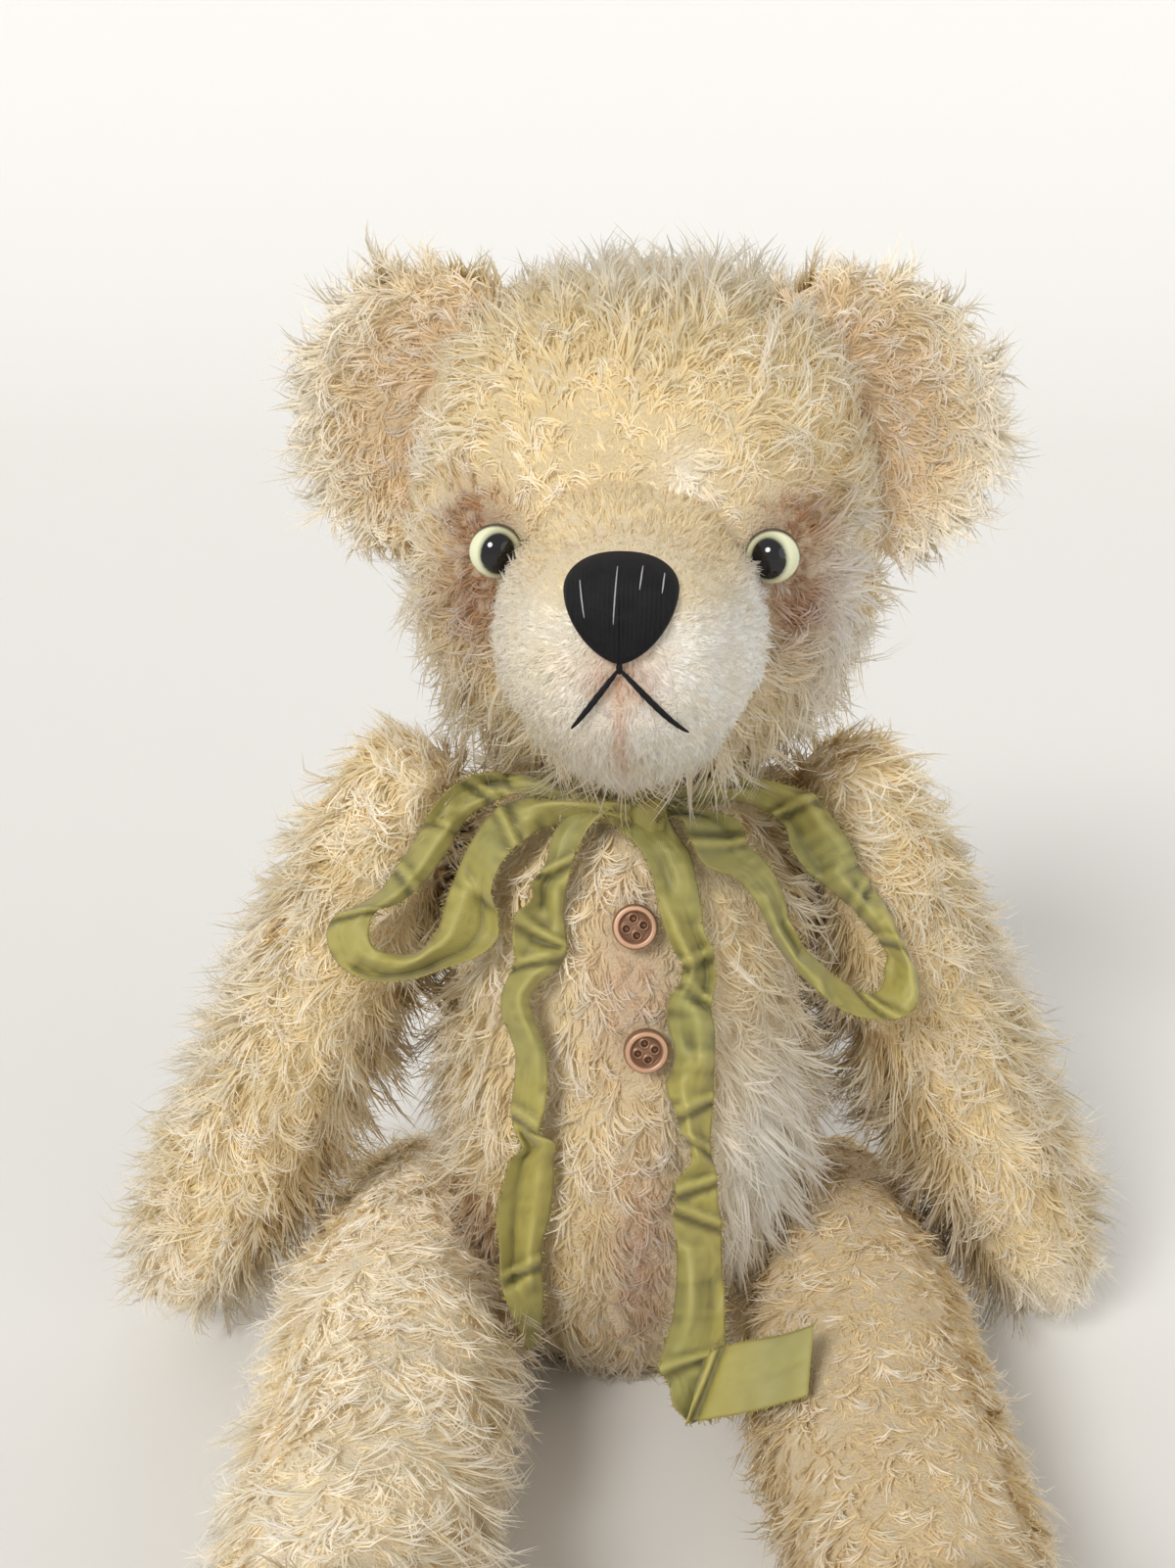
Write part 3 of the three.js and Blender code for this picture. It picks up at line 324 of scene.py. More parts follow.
class Socket:
    """A socket of a material's node tree; sums, differences and products with it add Math nodes."""

    def __init__(self, tree, socket=None):
        self.tree = tree
        self.socket = socket

    def node(self, kind, settings=None, sockets=None, out=0):
        """Adds a node, sets its settings, then its sockets' values or links, and gives one output."""
        made = self.tree.nodes.new(kind)
        for key, value in (settings or {}).items():
            setattr(made, key, value)
        for key, value in (sockets or {}).items():
            if isinstance(value, Socket):
                self.tree.links.new(value.socket, made.inputs[key])
            else:
                made.inputs[key].default_value = value
        return Socket(self.tree, made.outputs[out] if len(made.outputs) else None)

    def math(self, operation, first, second=0.0):
        """A Math node on two sockets or numbers."""
        return self.node("ShaderNodeMath", {"operation": operation}, {0: first, 1: second})

    def mix(self, share, first, second):
        """A colour that goes from the first to the second as the share goes from 0 to 1."""
        paints = [(*x, 1) if not isinstance(x, Socket) else x for x in (first, second)]
        settings = {"data_type": "RGBA"}
        return self.node("ShaderNodeMix", settings, {0: share, 6: paints[0], 7: paints[1]}, out=2)

    def __add__(self, other):
        return self.math("ADD", self, other)

    def __radd__(self, other):
        return self.math("ADD", other, self)

    def __sub__(self, other):
        return self.math("SUBTRACT", self, other)

    def __rsub__(self, other):
        return self.math("SUBTRACT", other, self)

    def __mul__(self, other):
        return self.math("MULTIPLY", self, other)

    def __rmul__(self, other):
        return self.math("MULTIPLY", other, self)


def finish(name, recipe, lit_through=False):
    """A material whose Principled sockets come from recipe(shade). One that is lit through shows the light of
    its front on its back as well, as a thin strand does."""
    material = bpy.data.materials.new(name)
    material.use_nodes = True
    tree = material.node_tree
    tree.nodes.clear()
    shade = Socket(tree)
    sockets = recipe(shade)
    surface = shade.node("ShaderNodeBsdfPrincipled", sockets=sockets)
    if lit_through:
        thin = shade.node("ShaderNodeBsdfTranslucent", sockets={"Color": sockets["Base Color"]})
        back = shade.node("ShaderNodeNewGeometry", out="Backfacing")
        surface = shade.node("ShaderNodeMixShader", sockets={0: back, 1: surface, 2: thin})
    shade.node("ShaderNodeOutputMaterial", sockets={"Surface": surface})
    return material


def place_of(shade):
    """The place on the piece, in its own frame."""
    return shade.node("ShaderNodeTexCoord", out=3)


def mottle(shade, vector, scale, detail=3.0):
    """Smooth noise from 0 to 1."""
    return shade.node("ShaderNodeTexNoise", sockets={"Vector": vector, "Scale": scale, "Detail": detail})


def bump(shade, height, strength, distance):
    """A normal tilted by a height."""
    sockets = {"Strength": strength, "Distance": distance, "Height": height}
    return shade.node("ShaderNodeBump", sockets=sockets)


def painted(shade, attribute):
    """A colour painted on the mesh."""
    return shade.node("ShaderNodeAttribute", {"attribute_name": attribute})


# Finishes


def mohair_finish(shade):
    """Strand colour from the coat, with a fine mottle along it and a silky gloss."""
    fleck = mottle(shade, place_of(shade), 900)
    tone = shade.mix(fleck * 0.1, painted(shade, "coat"), tuple(tint("tip")))
    return {"Base Color": tone, "Roughness": 0.45, "Specular IOR Level": 0.4, "Sheen Weight": 0.12}


def cloth_finish(shade):
    """Rubbed pile on its backing: the coat's own colour, darker between tufts, with a fine fibrous relief."""
    place = place_of(shade)
    tufts = mottle(shade, place, 420, 4.0)
    fibres = mottle(shade, place, 1500, 5.0)
    relief = tufts * 0.7 + fibres * 0.5
    tone = shade.mix(tufts * 0.45, painted(shade, "coat"), tuple(tint("base")))
    tone = shade.mix(fibres * 0.3, tone, tuple(tint("tip")))
    normal = bump(shade, relief, 0.9, 0.0016)
    return {"Base Color": tone, "Roughness": 0.95, "Sheen Weight": 0.25, "Normal": normal}


def floss_finish(shade):
    """Embroidery thread in its painted colour, a little grey where it is rubbed."""
    rub = mottle(shade, place_of(shade), 420)
    tone = shade.mix(rub * 0.07, painted(shade, "coat"), RUBBED_FLOSS)
    return {"Base Color": tone, "Roughness": 0.7, "Specular IOR Level": 0.2}


def ribbon_finish(shade):
    """Woven ribbon: painted highlight on the ridges, painted shade in the folds, faint stains, and fine
    slanting threads.
    """
    flat = shade.node("ShaderNodeUVMap", {"uv_map": "OFBake"})
    waves = {"Vector": flat, "Scale": 240.0}
    threads = shade.node("ShaderNodeTexWave", {"bands_direction": "DIAGONAL"}, waves)
    stain = mottle(shade, place_of(shade), 60)
    tone = shade.mix(stain * 0.3, painted(shade, "coat"), tuple(tint("ribbon_stain_and_shade")))
    tone = shade.mix(threads * 0.2, tone, tuple(tint("ribbon_pale_and_highlight")))
    return {"Base Color": tone, "Roughness": 0.48, "Sheen Weight": 0.2,
            "Normal": bump(shade, threads, 0.3, 0.0002)}


def copper_finish(shade):
    """Old copper: bright on what stands up, tarnished in the hollows."""
    worn = painted(shade, "coat")
    grain = mottle(shade, place_of(shade), 700)
    return {"Base Color": worn, "Metallic": 0.6, "Roughness": 0.3 + grain * 0.25}


def eye_finish(shade):
    """Glass eye: black pupil, pale ring and dark edge under a clear polish."""
    return {
        "Base Color": painted(shade, "coat"), "Roughness": 0.07, "Specular IOR Level": 0.4,
        "Coat Weight": 0.25, "Coat Roughness": 0.02,
    }


def felt_finish(shade):
    """Felted cloth with short fibres and dull stains."""
    place = place_of(shade)
    fibres = mottle(shade, place, 1400, 6.0)
    stain = mottle(shade, place, 70)
    tone = shade.mix(stain * 0.6, tuple(tint("felt")), tuple(tint("bare")))
    tone = shade.mix(fibres * 0.3, tone, tuple(tint("tip")))
    return {"Base Color": tone, "Roughness": 0.95, "Normal": bump(shade, fibres, 0.35, 0.0004)}


def board_finish(shade):
    """Hardboard with a fine fibre grain."""
    fibres = mottle(shade, place_of(shade), 800, 5.0)
    return {"Base Color": shade.mix(fibres, BOARD_DARK, BOARD_PALE), "Roughness": 0.85}


def steel_finish(shade):
    """Bare steel, a little dull in patches."""
    dull = mottle(shade, place_of(shade), 500)
    return {"Base Color": (*STEEL, 1), "Metallic": 1.0, "Roughness": 0.3 + dull * 0.3}


def floor_finish(shade):
    """A plain matt floor."""
    return {"Base Color": (*tint("floor"), 1), "Roughness": 0.9, "Specular IOR Level": 0.1}


# Numbers


def spline(values, t):
    """Catmull-Rom value at t from 0 to 1 through evenly spaced values, as the solids use."""
    row = np.asarray(values, float)
    at = np.clip(t, 0, 1) * (len(row) - 1)
    i = np.minimum(at.astype(int), len(row) - 2)
    w = at - i
    p = [row[np.clip(i + k, 0, len(row) - 1)] for k in (-1, 0, 1, 2)]
    v0, v1 = (p[2] - p[0]) / 2, (p[3] - p[1]) / 2
    cubic = 2 * p[1] - 2 * p[2] + v0 + v1
    square = -3 * p[1] + 3 * p[2] - 2 * v0 - v1
    return cubic * w**3 + square * w**2 + v0 * w + p[1]


def around(sides):
    """Angles all the way round, as one row."""
    return np.linspace(0, 2 * math.pi, sides, endpoint=False)[None, :]


def pole_to_pole(rows):
    """Angles from one pole to the other, as one column."""
    return np.linspace(0, math.pi, rows)[:, None]


def unit(vectors):
    """Vectors of the same directions, one long."""
    return vectors / np.maximum(np.linalg.norm(vectors, axis=-1, keepdims=True), 1e-9)


def noise(points, scale, seed):
    """Smooth noise from -1 to 1: random values on a lattice, blended between its corners."""
    q = points / scale
    cell = np.floor(q).astype(np.int64)
    w = q - cell
    w = w * w * (3 - 2 * w)
    total = np.zeros(points.shape[:-1])
    for corner in np.ndindex(2, 2, 2):
        at = cell + np.array(corner)
        key = at[..., 0] * 73856093 ^ at[..., 1] * 19349663 ^ at[..., 2] * 83492791 ^ seed * 2654435761
        key = (key ^ (key >> 13)) * 1274126177 & 0x7FFFFFFF
        share = np.prod(np.where(np.array(corner) == 1, w, 1 - w), axis=-1)
        total += share * (key % 20011 / 10005.5 - 1)
    return total


def near(points, middle, reach):
    """1 at a middle point, falling smoothly to 0 away from it; reach is one size or one for each axis."""
    return np.exp(-np.sum(((points - np.asarray(middle)) / reach) ** 2, axis=-1))


def patch(points, name):
    """1 in the middle of a named patch, falling smoothly to 0 outside it."""
    return near(points, *PATCHES[name])


def ramp(value, low, high):
    """0 below the low value, 1 above the high one, and smooth between them."""
    t = np.clip((value - low) / (high - low), 0, 1)
    return t * t * (3 - 2 * t)


def blend(share, first, second):
    """From the first colour to the second as the share goes from 0 to 1."""
    share = np.asarray(share)[..., None]
    return first * (1 - share) + second * share


def halved(low, high, inside):
    """The depth between two limits at which a test begins to hold, by halving."""
    for _ in range(HALVINGS):
        middle = (low + high) / 2
        held = inside(middle)
        low, high = np.where(held, low, middle), np.where(held, middle, high)
    return (low + high) / 2


def blurred(field, reach):
    """The field's mean over a square of neighbours."""
    kernel = np.hanning(2 * reach + 3)[1:-1]
    kernel /= kernel.sum()
    for axis in (0, 1):
        widths = [(reach, reach) if k == axis else (0, 0) for k in (0, 1)]
        padded = np.pad(field, widths, mode="edge")
        field = np.apply_along_axis(np.convolve, axis, padded, kernel, mode="valid")
    return field


# Shapes


def stuffed(form, inset, rings=72, sides=72, mirror=1):
    """Rings of ellipses along Z, each drawn in by sin(angle)**blunt towards a pole at both ends."""
    (low, high), (width, depth) = form["ends"], form["size"]
    angle, turn = pole_to_pole(rings + 1), around(sides)
    t = (1 - np.cos(angle)) / 2
    draw = np.clip(np.sin(angle), 0, 1) ** form["blunt"]
    half_w = (spline(form["wide"], t) * width / 2 - inset) * draw
    half_d = (spline(form["deep"], t) * depth / 2 - inset) * draw
    x = mirror * spline(form["shift_x"], t) * width + half_w * np.cos(turn)
    y = spline(form["shift_y"], t) * depth + half_d * np.sin(turn)
    z = low + inset + (high - low - 2 * inset) * t + 0 * turn
    return np.stack([x, y, z], axis=-1)


def within(form, points, grow=0.0, mirror=1):
    """True where a point in the form's own frame lies inside it."""
    (low, high), (width, depth) = form["ends"], form["size"]
    t = (points[:, 2] - low + grow) / (high - low + 2 * grow)
    draw = np.sqrt(np.clip(1 - (1 - 2 * t) ** 2, 1e-6, 1)) ** form["blunt"]
    half_w = (spline(form["wide"], t) * width / 2 + grow) * draw
    half_d = (spline(form["deep"], t) * depth / 2 + grow) * draw
    x = (points[:, 0] - mirror * spline(form["shift_x"], t) * width) / half_w
    y = (points[:, 1] - spline(form["shift_y"], t) * depth) / half_d
    return (t > 0) & (t < 1) & (x**2 + y**2 < 1)


def turned(axis, degrees):
    """Rotation matrix about a main axis."""
    c, s = math.cos(math.radians(degrees)), math.sin(math.radians(degrees))
    return {
        "X": np.array([[1, 0, 0], [0, c, -s], [0, s, c]]),
        "Y": np.array([[c, 0, s], [0, 1, 0], [-s, 0, c]]),
        "Z": np.array([[c, -s, 0], [s, c, 0], [0, 0, 1]]),
    }[axis]


class Place:
    """A turn and a shift from a piece's own frame to the bear's frame."""

    def __init__(self, turn, shift):
        self.turn = turn
        self.shift = np.asarray(shift, float)

    def out(self, points):
        """Points of the piece's own frame turned, then shifted, to the bear's frame."""
        return points @ self.turn.T + self.shift

    def back(self, points):
        """Points of the bear's frame shifted back, then turned back, to the piece's own."""
        return (points - self.shift) @ self.turn


HEAD = Place(turned("Z", HEAD_TURN), NECK)
BEAR = Place(np.eye(3), (0, 0, 0))
ARMS = {s: Place(turned("Y", -s * ARM_SPLAY[s]), (s * SHOULDER[0], *SHOULDER[1:])) for s in SIDE_NAME}
LEGS = {s: Place(turned("X", -90), (s * HIP[0], *HIP[1:])) for s in SIDE_NAME}
FOOT_ACROSS = HIP[0] + 0.49 * FORMS["leg"]["size"][0]
FOOT_AHEAD = HIP[1] + 0.3 * FORMS["foot"]["size"][1] + SOLE_AT
FEET = {s: Place(np.eye(3), (s * FOOT_ACROSS, FOOT_AHEAD, HIP[2])) for s in SIDE_NAME}
MUZZLE = Place(turned("X", -90), (0, 0, MUZZLE_RISE))


def front_of(form, x, z):
    """How far forward a form in the bear's frame reaches at places seen from the front."""

    def inside(y):
        """Which places lie in the form when their depth is y."""
        return within(form, np.stack([x, y, z], axis=-1).reshape(-1, 3)).reshape(np.shape(x))

    return halved(np.full(np.shape(x), -90.0), np.full(np.shape(x), 0.0), inside)


def muzzle_front(x, z):
    """How far forward the muzzle's form reaches at places seen from the front, in the head's frame."""

    def inside(y):
        """Which places lie in the muzzle when their depth is y."""
        spots = np.stack([x, -(z - MUZZLE_RISE), y], axis=-1)
        return within(FORMS["muzzle"], spots.reshape(-1, 3)).reshape(np.shape(x))

    return halved(np.full(np.shape(x), -93.0), np.full(np.shape(x), -40.0), inside)


def ear_grid(sign, inset, rings=48, sides=64):
    """A padded disc, front pole to back pole, whose rim comes forward by cup times radius squared."""
    angle, turn = pole_to_pole(rings + 1), around(sides)
    x, z = np.sin(angle) * np.cos(turn), np.sin(angle) * np.sin(turn)
    y = -np.cos(angle) * (EAR["thickness"] / 2 - inset) - EAR["cup"] * (x**2 + z**2)
    grid = np.stack([x * (EAR["reach"] - inset), y, z * (EAR["length"] / 2 - inset)], axis=-1)
    spun = grid @ turned("Y", -sign * EAR["lean"]).T @ turned("Z", sign * EAR["turn"]).T
    return spun + np.array([sign * EAR["place"][0], EAR["place"][1], EAR["place"][2]])


def muzzle_grid(rings=48, sides=60):
    """The muzzle's form in the head's frame, flared where it meets the head above the nose."""
    local = MUZZLE.out(stuffed(FORMS["muzzle"], MUZZLE_INSET, rings, sides).reshape(-1, 3))
    x, y, z = local.T
    top = ramp(z, 58, 66) * (1 - ramp(np.abs(x), 12, 22))
    flare = 1 + ramp(y, -70, -47) * np.maximum(0.14 * top, 0.05)
    middle = MUZZLE.shift[2]
    return np.stack([x * flare, y, middle + (z - middle) * flare], axis=1).reshape(rings + 1, sides, 3)


# Meshes


def grid_faces(rows, columns, closed):
    """Quads between neighbouring rows of a grid, going round where it is closed."""
    i = np.arange(rows - 1)[:, None] * columns
    j = np.arange(columns if closed else columns - 1)[None, :]
    k = (j + 1) % columns
    return np.stack([i + j, i + k, i + columns + k, i + columns + j], -1).reshape(-1, 4)


def vertex_normals(points, quads):
    """The mean of the faces' normals around each vertex."""
    a, b, c, d = (points[quads[:, k]] for k in range(4))
    face = np.cross(c - a, d - b)
    total = np.zeros_like(points)
    for k in range(4):
        np.add.at(total, quads[:, k], face)
    return unit(total)


def mesh_object(name, points, quads, material, body, uv=None, coat=None, tail=None, normals=None):
    """A smooth mesh piece from points in millimetres and rows of four (or tail rows of three) corners."""
    mesh = bpy.data.meshes.new(name)
    loops = np.asarray(quads, np.int32).ravel()
    starts = np.arange(len(quads), dtype=np.int32) * 4
    if tail is not None:
        starts = np.concatenate([starts, len(loops) + np.arange(len(tail), dtype=np.int32) * 3])
        loops = np.concatenate([loops, np.asarray(tail, np.int32).ravel()])
    mesh.vertices.add(len(points))
    mesh.vertices.foreach_set("co", (np.asarray(points, np.float32) * MM).ravel())
    mesh.loops.add(len(loops))
    mesh.loops.foreach_set("vertex_index", loops)
    mesh.polygons.add(len(starts))
    mesh.polygons.foreach_set("loop_start", starts)
    mesh.polygons.foreach_set("use_smooth", np.ones(len(starts), bool))
    mesh.update(calc_edges=True)
    if uv is not None:
        mesh.uv_layers.new(name="OFBake").data.foreach_set("uv", np.asarray(uv, np.float32)[loops].ravel())
    if coat is not None:
        layer = mesh.attributes.new("coat", "FLOAT_COLOR", "POINT")
        shades = np.concatenate([np.asarray(coat, np.float32), np.ones((len(points), 1), np.float32)], axis=1)
        layer.data.foreach_set("color", shades.ravel())
    if normals is not None:
        mesh.normals_split_custom_set_from_vertices(np.asarray(normals, np.float32))
    mesh.materials.append(material)
    piece = bpy.data.objects.new(name, mesh)
    bpy.context.scene.collection.objects.link(piece)
    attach(piece, body)
    return piece


def joined(*grids):
    """Several closed grids as one set of points and quads."""
    points, quads, start = [], [], 0
    for grid in grids:
        rows, columns = grid.shape[:2]
        points.append(grid.reshape(-1, 3))
        quads.append(grid_faces(rows, columns, True) + start)
        start += rows * columns
    return np.concatenate(points), np.concatenate(quads)


def thicken(piece, thickness):
    """Gives a sheet its thickness, half of it on each side."""
    wall = piece.modifiers.new("cloth", "SOLIDIFY")
    wall.thickness = thickness * MM
    wall.offset = 0


def node_tree(*names):
    """The named solids as one tree that can be looked through, in millimetres."""
    points, faces, start = [], [], 0
    for name in names:
        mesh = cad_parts[name].data
        co = np.zeros(len(mesh.vertices) * 3, np.float32)
        mesh.vertices.foreach_get("co", co)
        points.append(co.reshape(-1, 3) / MM)
        corners = np.zeros(len(mesh.loops), np.int32)
        mesh.loops.foreach_get("vertex_index", corners)
        faces.append(corners.reshape(-1, 3) + start)
        start += len(mesh.vertices)
    return BVHTree.FromPolygons(np.concatenate(points).tolist(), np.concatenate(faces).tolist())


def laid(tree, points, look):
    """Where a straight look through each point meets a tree of solids, as distances along the look."""
    way = Vector(look)
    hits = [tree.ray_cast(Vector(p) - way * LOOK_FROM, way)[3] for p in points]
    return np.array([np.nan if hit is None else hit - LOOK_FROM for hit in hits])


class Skin:
    """The cloth of a stuffed piece: a closed grid in the bear's frame that fur grows from."""

    def __init__(self, grid, place):
        self.rows, self.columns = grid.shape[:2]
        self.points = place.out(grid.reshape(-1, 3))
        self.points[:, 2] = np.maximum(self.points[:, 2], SKIN_FLOOR)
        self.quads = grid_faces(self.rows, self.columns, True)
        self.normals = vertex_normals(self.points, self.quads)
        middle = self.points.mean(axis=0)
        if np.mean(np.sum(self.normals * (self.points - middle), axis=1)) < 0:
            self.quads = self.quads[:, ::-1]
            self.normals = -self.normals

    def scatter(self, rng, count):
        """Places spread evenly over the skin, with the skin's normals there."""
        triangles = np.concatenate([self.quads[:, [0, 1, 2]], self.quads[:, [0, 2, 3]]])
        a, b, c = (self.points[triangles[:, k]] for k in range(3))
        area = np.linalg.norm(np.cross(b - a, c - a), axis=1)
        pick = np.searchsorted(np.cumsum(area) / area.sum(), rng.random(count))
        pick = triangles[np.minimum(pick, len(triangles) - 1)]
        u, v = rng.random((2, count))
        fold = u + v > 1
        u, v = np.where(fold, 1 - u, u), np.where(fold, 1 - v, v)
        share = np.stack([1 - u - v, u, v], axis=1)[..., None]
        return np.sum(self.points[pick] * share, axis=1), unit(np.sum(self.normals[pick] * share, axis=1))


def skins():
    """Every stuffed surface, by name."""
    inset = sizes().skin_inset
    made = {
        "cranium": Skin(stuffed(FORMS["cranium"], inset, 56, 56), HEAD),
        "muzzle": Skin(muzzle_grid(), HEAD),
        "trunk": Skin(stuffed(FORMS["trunk"], inset, 56, 56), BEAR),
    }
    for sign, side in SIDE_NAME.items():
        made[f"{side}_ear"] = Skin(ear_grid(sign, EAR_INSET), HEAD)
        made[f"{side}_arm"] = Skin(stuffed(FORMS["arm"], inset, 48, 40, mirror=sign), ARMS[sign])
        made[f"{side}_leg"] = Skin(stuffed(FORMS["leg"], inset, 48, 48, mirror=sign), LEGS[sign])
        made[f"{side}_foot"] = Skin(stuffed(FORMS["foot"], inset, 32, 40), FEET[sign])
    return made


# The bow's layout


def bow_rows(name, step):
    """Rows of a strip a step apart: its two edges in the layout, and how far along its middle each row is."""
    t = np.linspace(0, 1, 800)
    edges = np.stack([spline([row[k] for row in BOW[name]], t) for k in range(4)], axis=1)
    middle = (edges[:, :2] + edges[:, 2:]) / 2
    run = np.concatenate([[0], np.cumsum(np.linalg.norm(np.diff(middle, axis=0), axis=1))])
    at = np.linspace(0, run[-1], max(8, int(run[-1] / step)))
    rows = np.stack([np.interp(at, run, edges[:, k]) for k in range(4)], axis=1)
    return rows.reshape(-1, 2, 2), at


def under_bow(points, normals):
    """1 where a place on the skin lies under the ribbon or at its edge, 0 well away from it."""
    flat = np.stack([points[:, 0] - KNOT[0], (points - KNOT) @ LAY_UP], axis=1)
    most = np.zeros(len(points))
    for name in BOW:
        edges, _ = bow_rows(name, 3.0)
        middle, half = edges.mean(axis=1), np.linalg.norm(edges[:, 1] - edges[:, 0], axis=1) / 2
        far = np.linalg.norm(flat[:, None] - middle[None], axis=-1)
        most = np.maximum(most, np.max(1 - ramp(far - half, -2.0, 1.0), axis=1))
    return most * (normals @ LAY_LOOK < 0.1)


# Coats: what grows where


class Coat:
    """Length, lean, comb direction, colours and share kept, for each lock of one skin."""

    def __init__(self, points, normals, seed):
        self.points, self.normals, self.seed = points, normals, seed
        count = len(points)
        self.tone = 0.6 * noise(points, 14, seed) + 0.4 * noise(points, 5, seed + 1)
        self.length = sizes().pile * (1 + 0.22 * noise(points, 11, seed + 2))
        self.lean = np.full(count, 0.72) + 0.16 * noise(points, 9, seed + 3)
        self.keep = np.ones(count)
        self.comb = np.zeros((count, 3))
        self.base = blend(0.5 + 0.4 * self.tone, tint("base"), tint("gold"))
        self.middle = blend(0.5 + 0.5 * self.tone, tint("gold"), tint("middle"))
        self.tip = blend(0.6 + 0.5 * self.tone, tint("middle"), tint("tip"))
        self.wave = np.full(count, 1.0)

    def stain(self, share, paint, tips=1.0):
        """Colours the locks towards a paint, the tips by a share of that."""
        self.base = blend(share, self.base, paint)
        self.middle = blend(share, self.middle, paint)
        self.tip = blend(share * tips, self.tip, paint)

    def press(self, share, lean=PRESSED_LEAN):
        """Shortens the locks that lie under the ribbon and lays them flatter."""
        self.length *= 1 - PRESSED * share
        self.lean += lean * share

    def swirl(self, amount, scale):
        """Turns the comb direction about the normal by smooth noise."""
        turn = amount * noise(self.points, scale, self.seed + 7)
        side = np.cross(self.normals, self.comb)
        self.comb = self.comb * np.cos(turn)[:, None] + side * np.sin(turn)[:, None]

    def settle(self):
        """Lays the comb direction in the skin."""
        flat = self.comb - np.sum(self.comb * self.normals, axis=1, keepdims=True) * self.normals
        self.comb = unit(flat + 1e-6)


def eye_centres():
    """Middle of each glass ball in the head's frame: the solid's front, less a radius."""
    found = {}
    for sign, side in SIDE_NAME.items():
        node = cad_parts[f"{side}_eye"]
        local = HEAD.back(np.array([v.co for v in node.data.vertices]) / MM)
        deep = local[:, 1].min() + EYE_RADIUS
        front = local[local[:, 1] < deep]
        low, high = front.min(axis=0), front.max(axis=0)
        found[sign] = np.array([(low[0] + high[0]) / 2, deep, (low[2] + high[2]) / 2])
    return found


def cranium_coat(points, normals):
    """Combed away from the nose, spiky on the crown and cheeks, worn short on the forehead."""
    coat = Coat(points, normals, 11)
    local = HEAD.back(points)
    coat.comb = unit(local - np.array([0, -70, 52])) @ HEAD.turn.T
    coat.comb += 0.5 * ramp(local[:, 1], -10, 40)[:, None] * np.array([0, 0, -1.0])
    cheek = ramp(np.abs(local[:, 0]), 30, 46) * ramp(-local[:, 2], -62, -34)
    crown = ramp(local[:, 2], 84, 106)
    jaw = ramp(-local[:, 2], -34, -12) * ramp(-local[:, 1], -20, 10)
    coat.comb[:, 2] -= 0.6 * cheek + 1.6 * jaw
    coat.lean -= 0.14 * cheek + 0.42 * crown + 0.4 * jaw
    coat.length *= 1 + 0.35 * cheek + 0.14 * crown + 0.6 * jaw
    worn = np.clip(patch(local, "forehead") + patch(local, "brow"), 0, 1)
    coat.length *= 1 - 0.56 * worn
    coat.lean += 0.16 * worn
    coat.stain(0.8 * worn, tint("gold"), 0.75)
    pale = patch(local, "pale_face") * ramp(local[:, 0], -50, 20)
    temple = ramp(local[:, 0], 28, 46) * ramp(-local[:, 1], 5, 25) * (1 - ramp(local[:, 2], 50, 70))
    coat.stain(0.75 * np.maximum(pale, temple), tint("muzzle"), 0.9)
    shade_eyes(coat, local)
    tuft = patch(local, "tuft")
    coat.stain(tuft, tint("tip"))
    coat.length *= 1 + 0.9 * tuft
    coat.comb[:, 2] -= 3.0 * tuft
    coat.keep *= ~within(FORMS["muzzle"], MUZZLE.back(local), 0.5)
    coat.keep *= (local[:, 2] > 3) | (np.hypot(local[:, 0], local[:, 1]) > NECK_OPENING)
    coat.swirl(0.7, 12)
    return coat


def shade_eyes(coat, local):
    """Combs the head's pile away from each eye, shortens it there, and browns it above and below."""
    for sign, eye in eye_centres().items():
        far = local - eye
        away = np.linalg.norm(far, axis=1)
        close = np.exp(-((away / 14) ** 2))
        coat.comb += (2.0 * close)[:, None] * (unit(far) @ HEAD.turn.T)
        coat.length *= 1 - 0.62 * close
        coat.keep *= away > EYE_RADIUS + 0.4
        shade = near(local, eye + np.array([sign * 4, 0, -11]), (9, 30, 14))
        shade += 0.85 * near(local, eye + np.array([sign * 4, 0, 6]), (8, 30, 7))
        coat.stain(np.clip(shade, 0, 0.94), tint("shade"), 0.97)


def muzzle_coat(points, normals):
    """Clipped short and greyish white, blushed under the nose and along the seam, longer under the chin;
    on the bridge it goes over to the forehead's gold."""
    coat = Coat(points, normals, 23)
    local = HEAD.back(points)
    coat.comb = unit(local - np.array([0, -100, 56])) @ HEAD.turn.T
    back = ramp(local[:, 1], -80, -56)
    under = ramp(-local[:, 2], -32, -18)
    bridge = ramp(local[:, 2], 54, 64)
    coat.length = 2.8 + (3.6 + 1.8 * noise(points, 5, 15)) * back + 6.0 * under + 0.7 * noise(points, 6, 5)
    coat.comb[:, 2] -= 1.4 * under
    coat.lean = 0.62 - 0.25 * under + 0.18 * bridge
    coat.wave[:] = 0.4 + 0.5 * under + 0.4 * back
    grey = blend(np.clip(0.14 + 0.4 * noise(points, 4, 6), 0, 1), tint("muzzle"), tint("middle"))
    white = 1 - bridge
    coat.stain(bridge, blend(np.array(0.22), 1.06 * tint("gold"), tint("tip")))
    coat.base = blend(white, coat.base, blend(np.full(len(points), 0.2), grey, tint("base")))
    coat.middle = blend(white, coat.middle, grey)
    coat.tip = blend(white, coat.tip, blend(np.full(len(points), 0.6), grey, tint("tip")))
    soil = 0.45 * ramp(-local[:, 0], -2, 22) * (1 - 0.5 * under)
    coat.stain(soil * white, tint("gold"), 0.8)
    blush = 0.8 * patch(local, "under_nose") + 0.6 * patch(local, "muzzle_seam")
    coat.stain(np.clip(blush, 0, 0.9), tint("blush"), 0.85)
    clear_face(coat, local)
    return coat


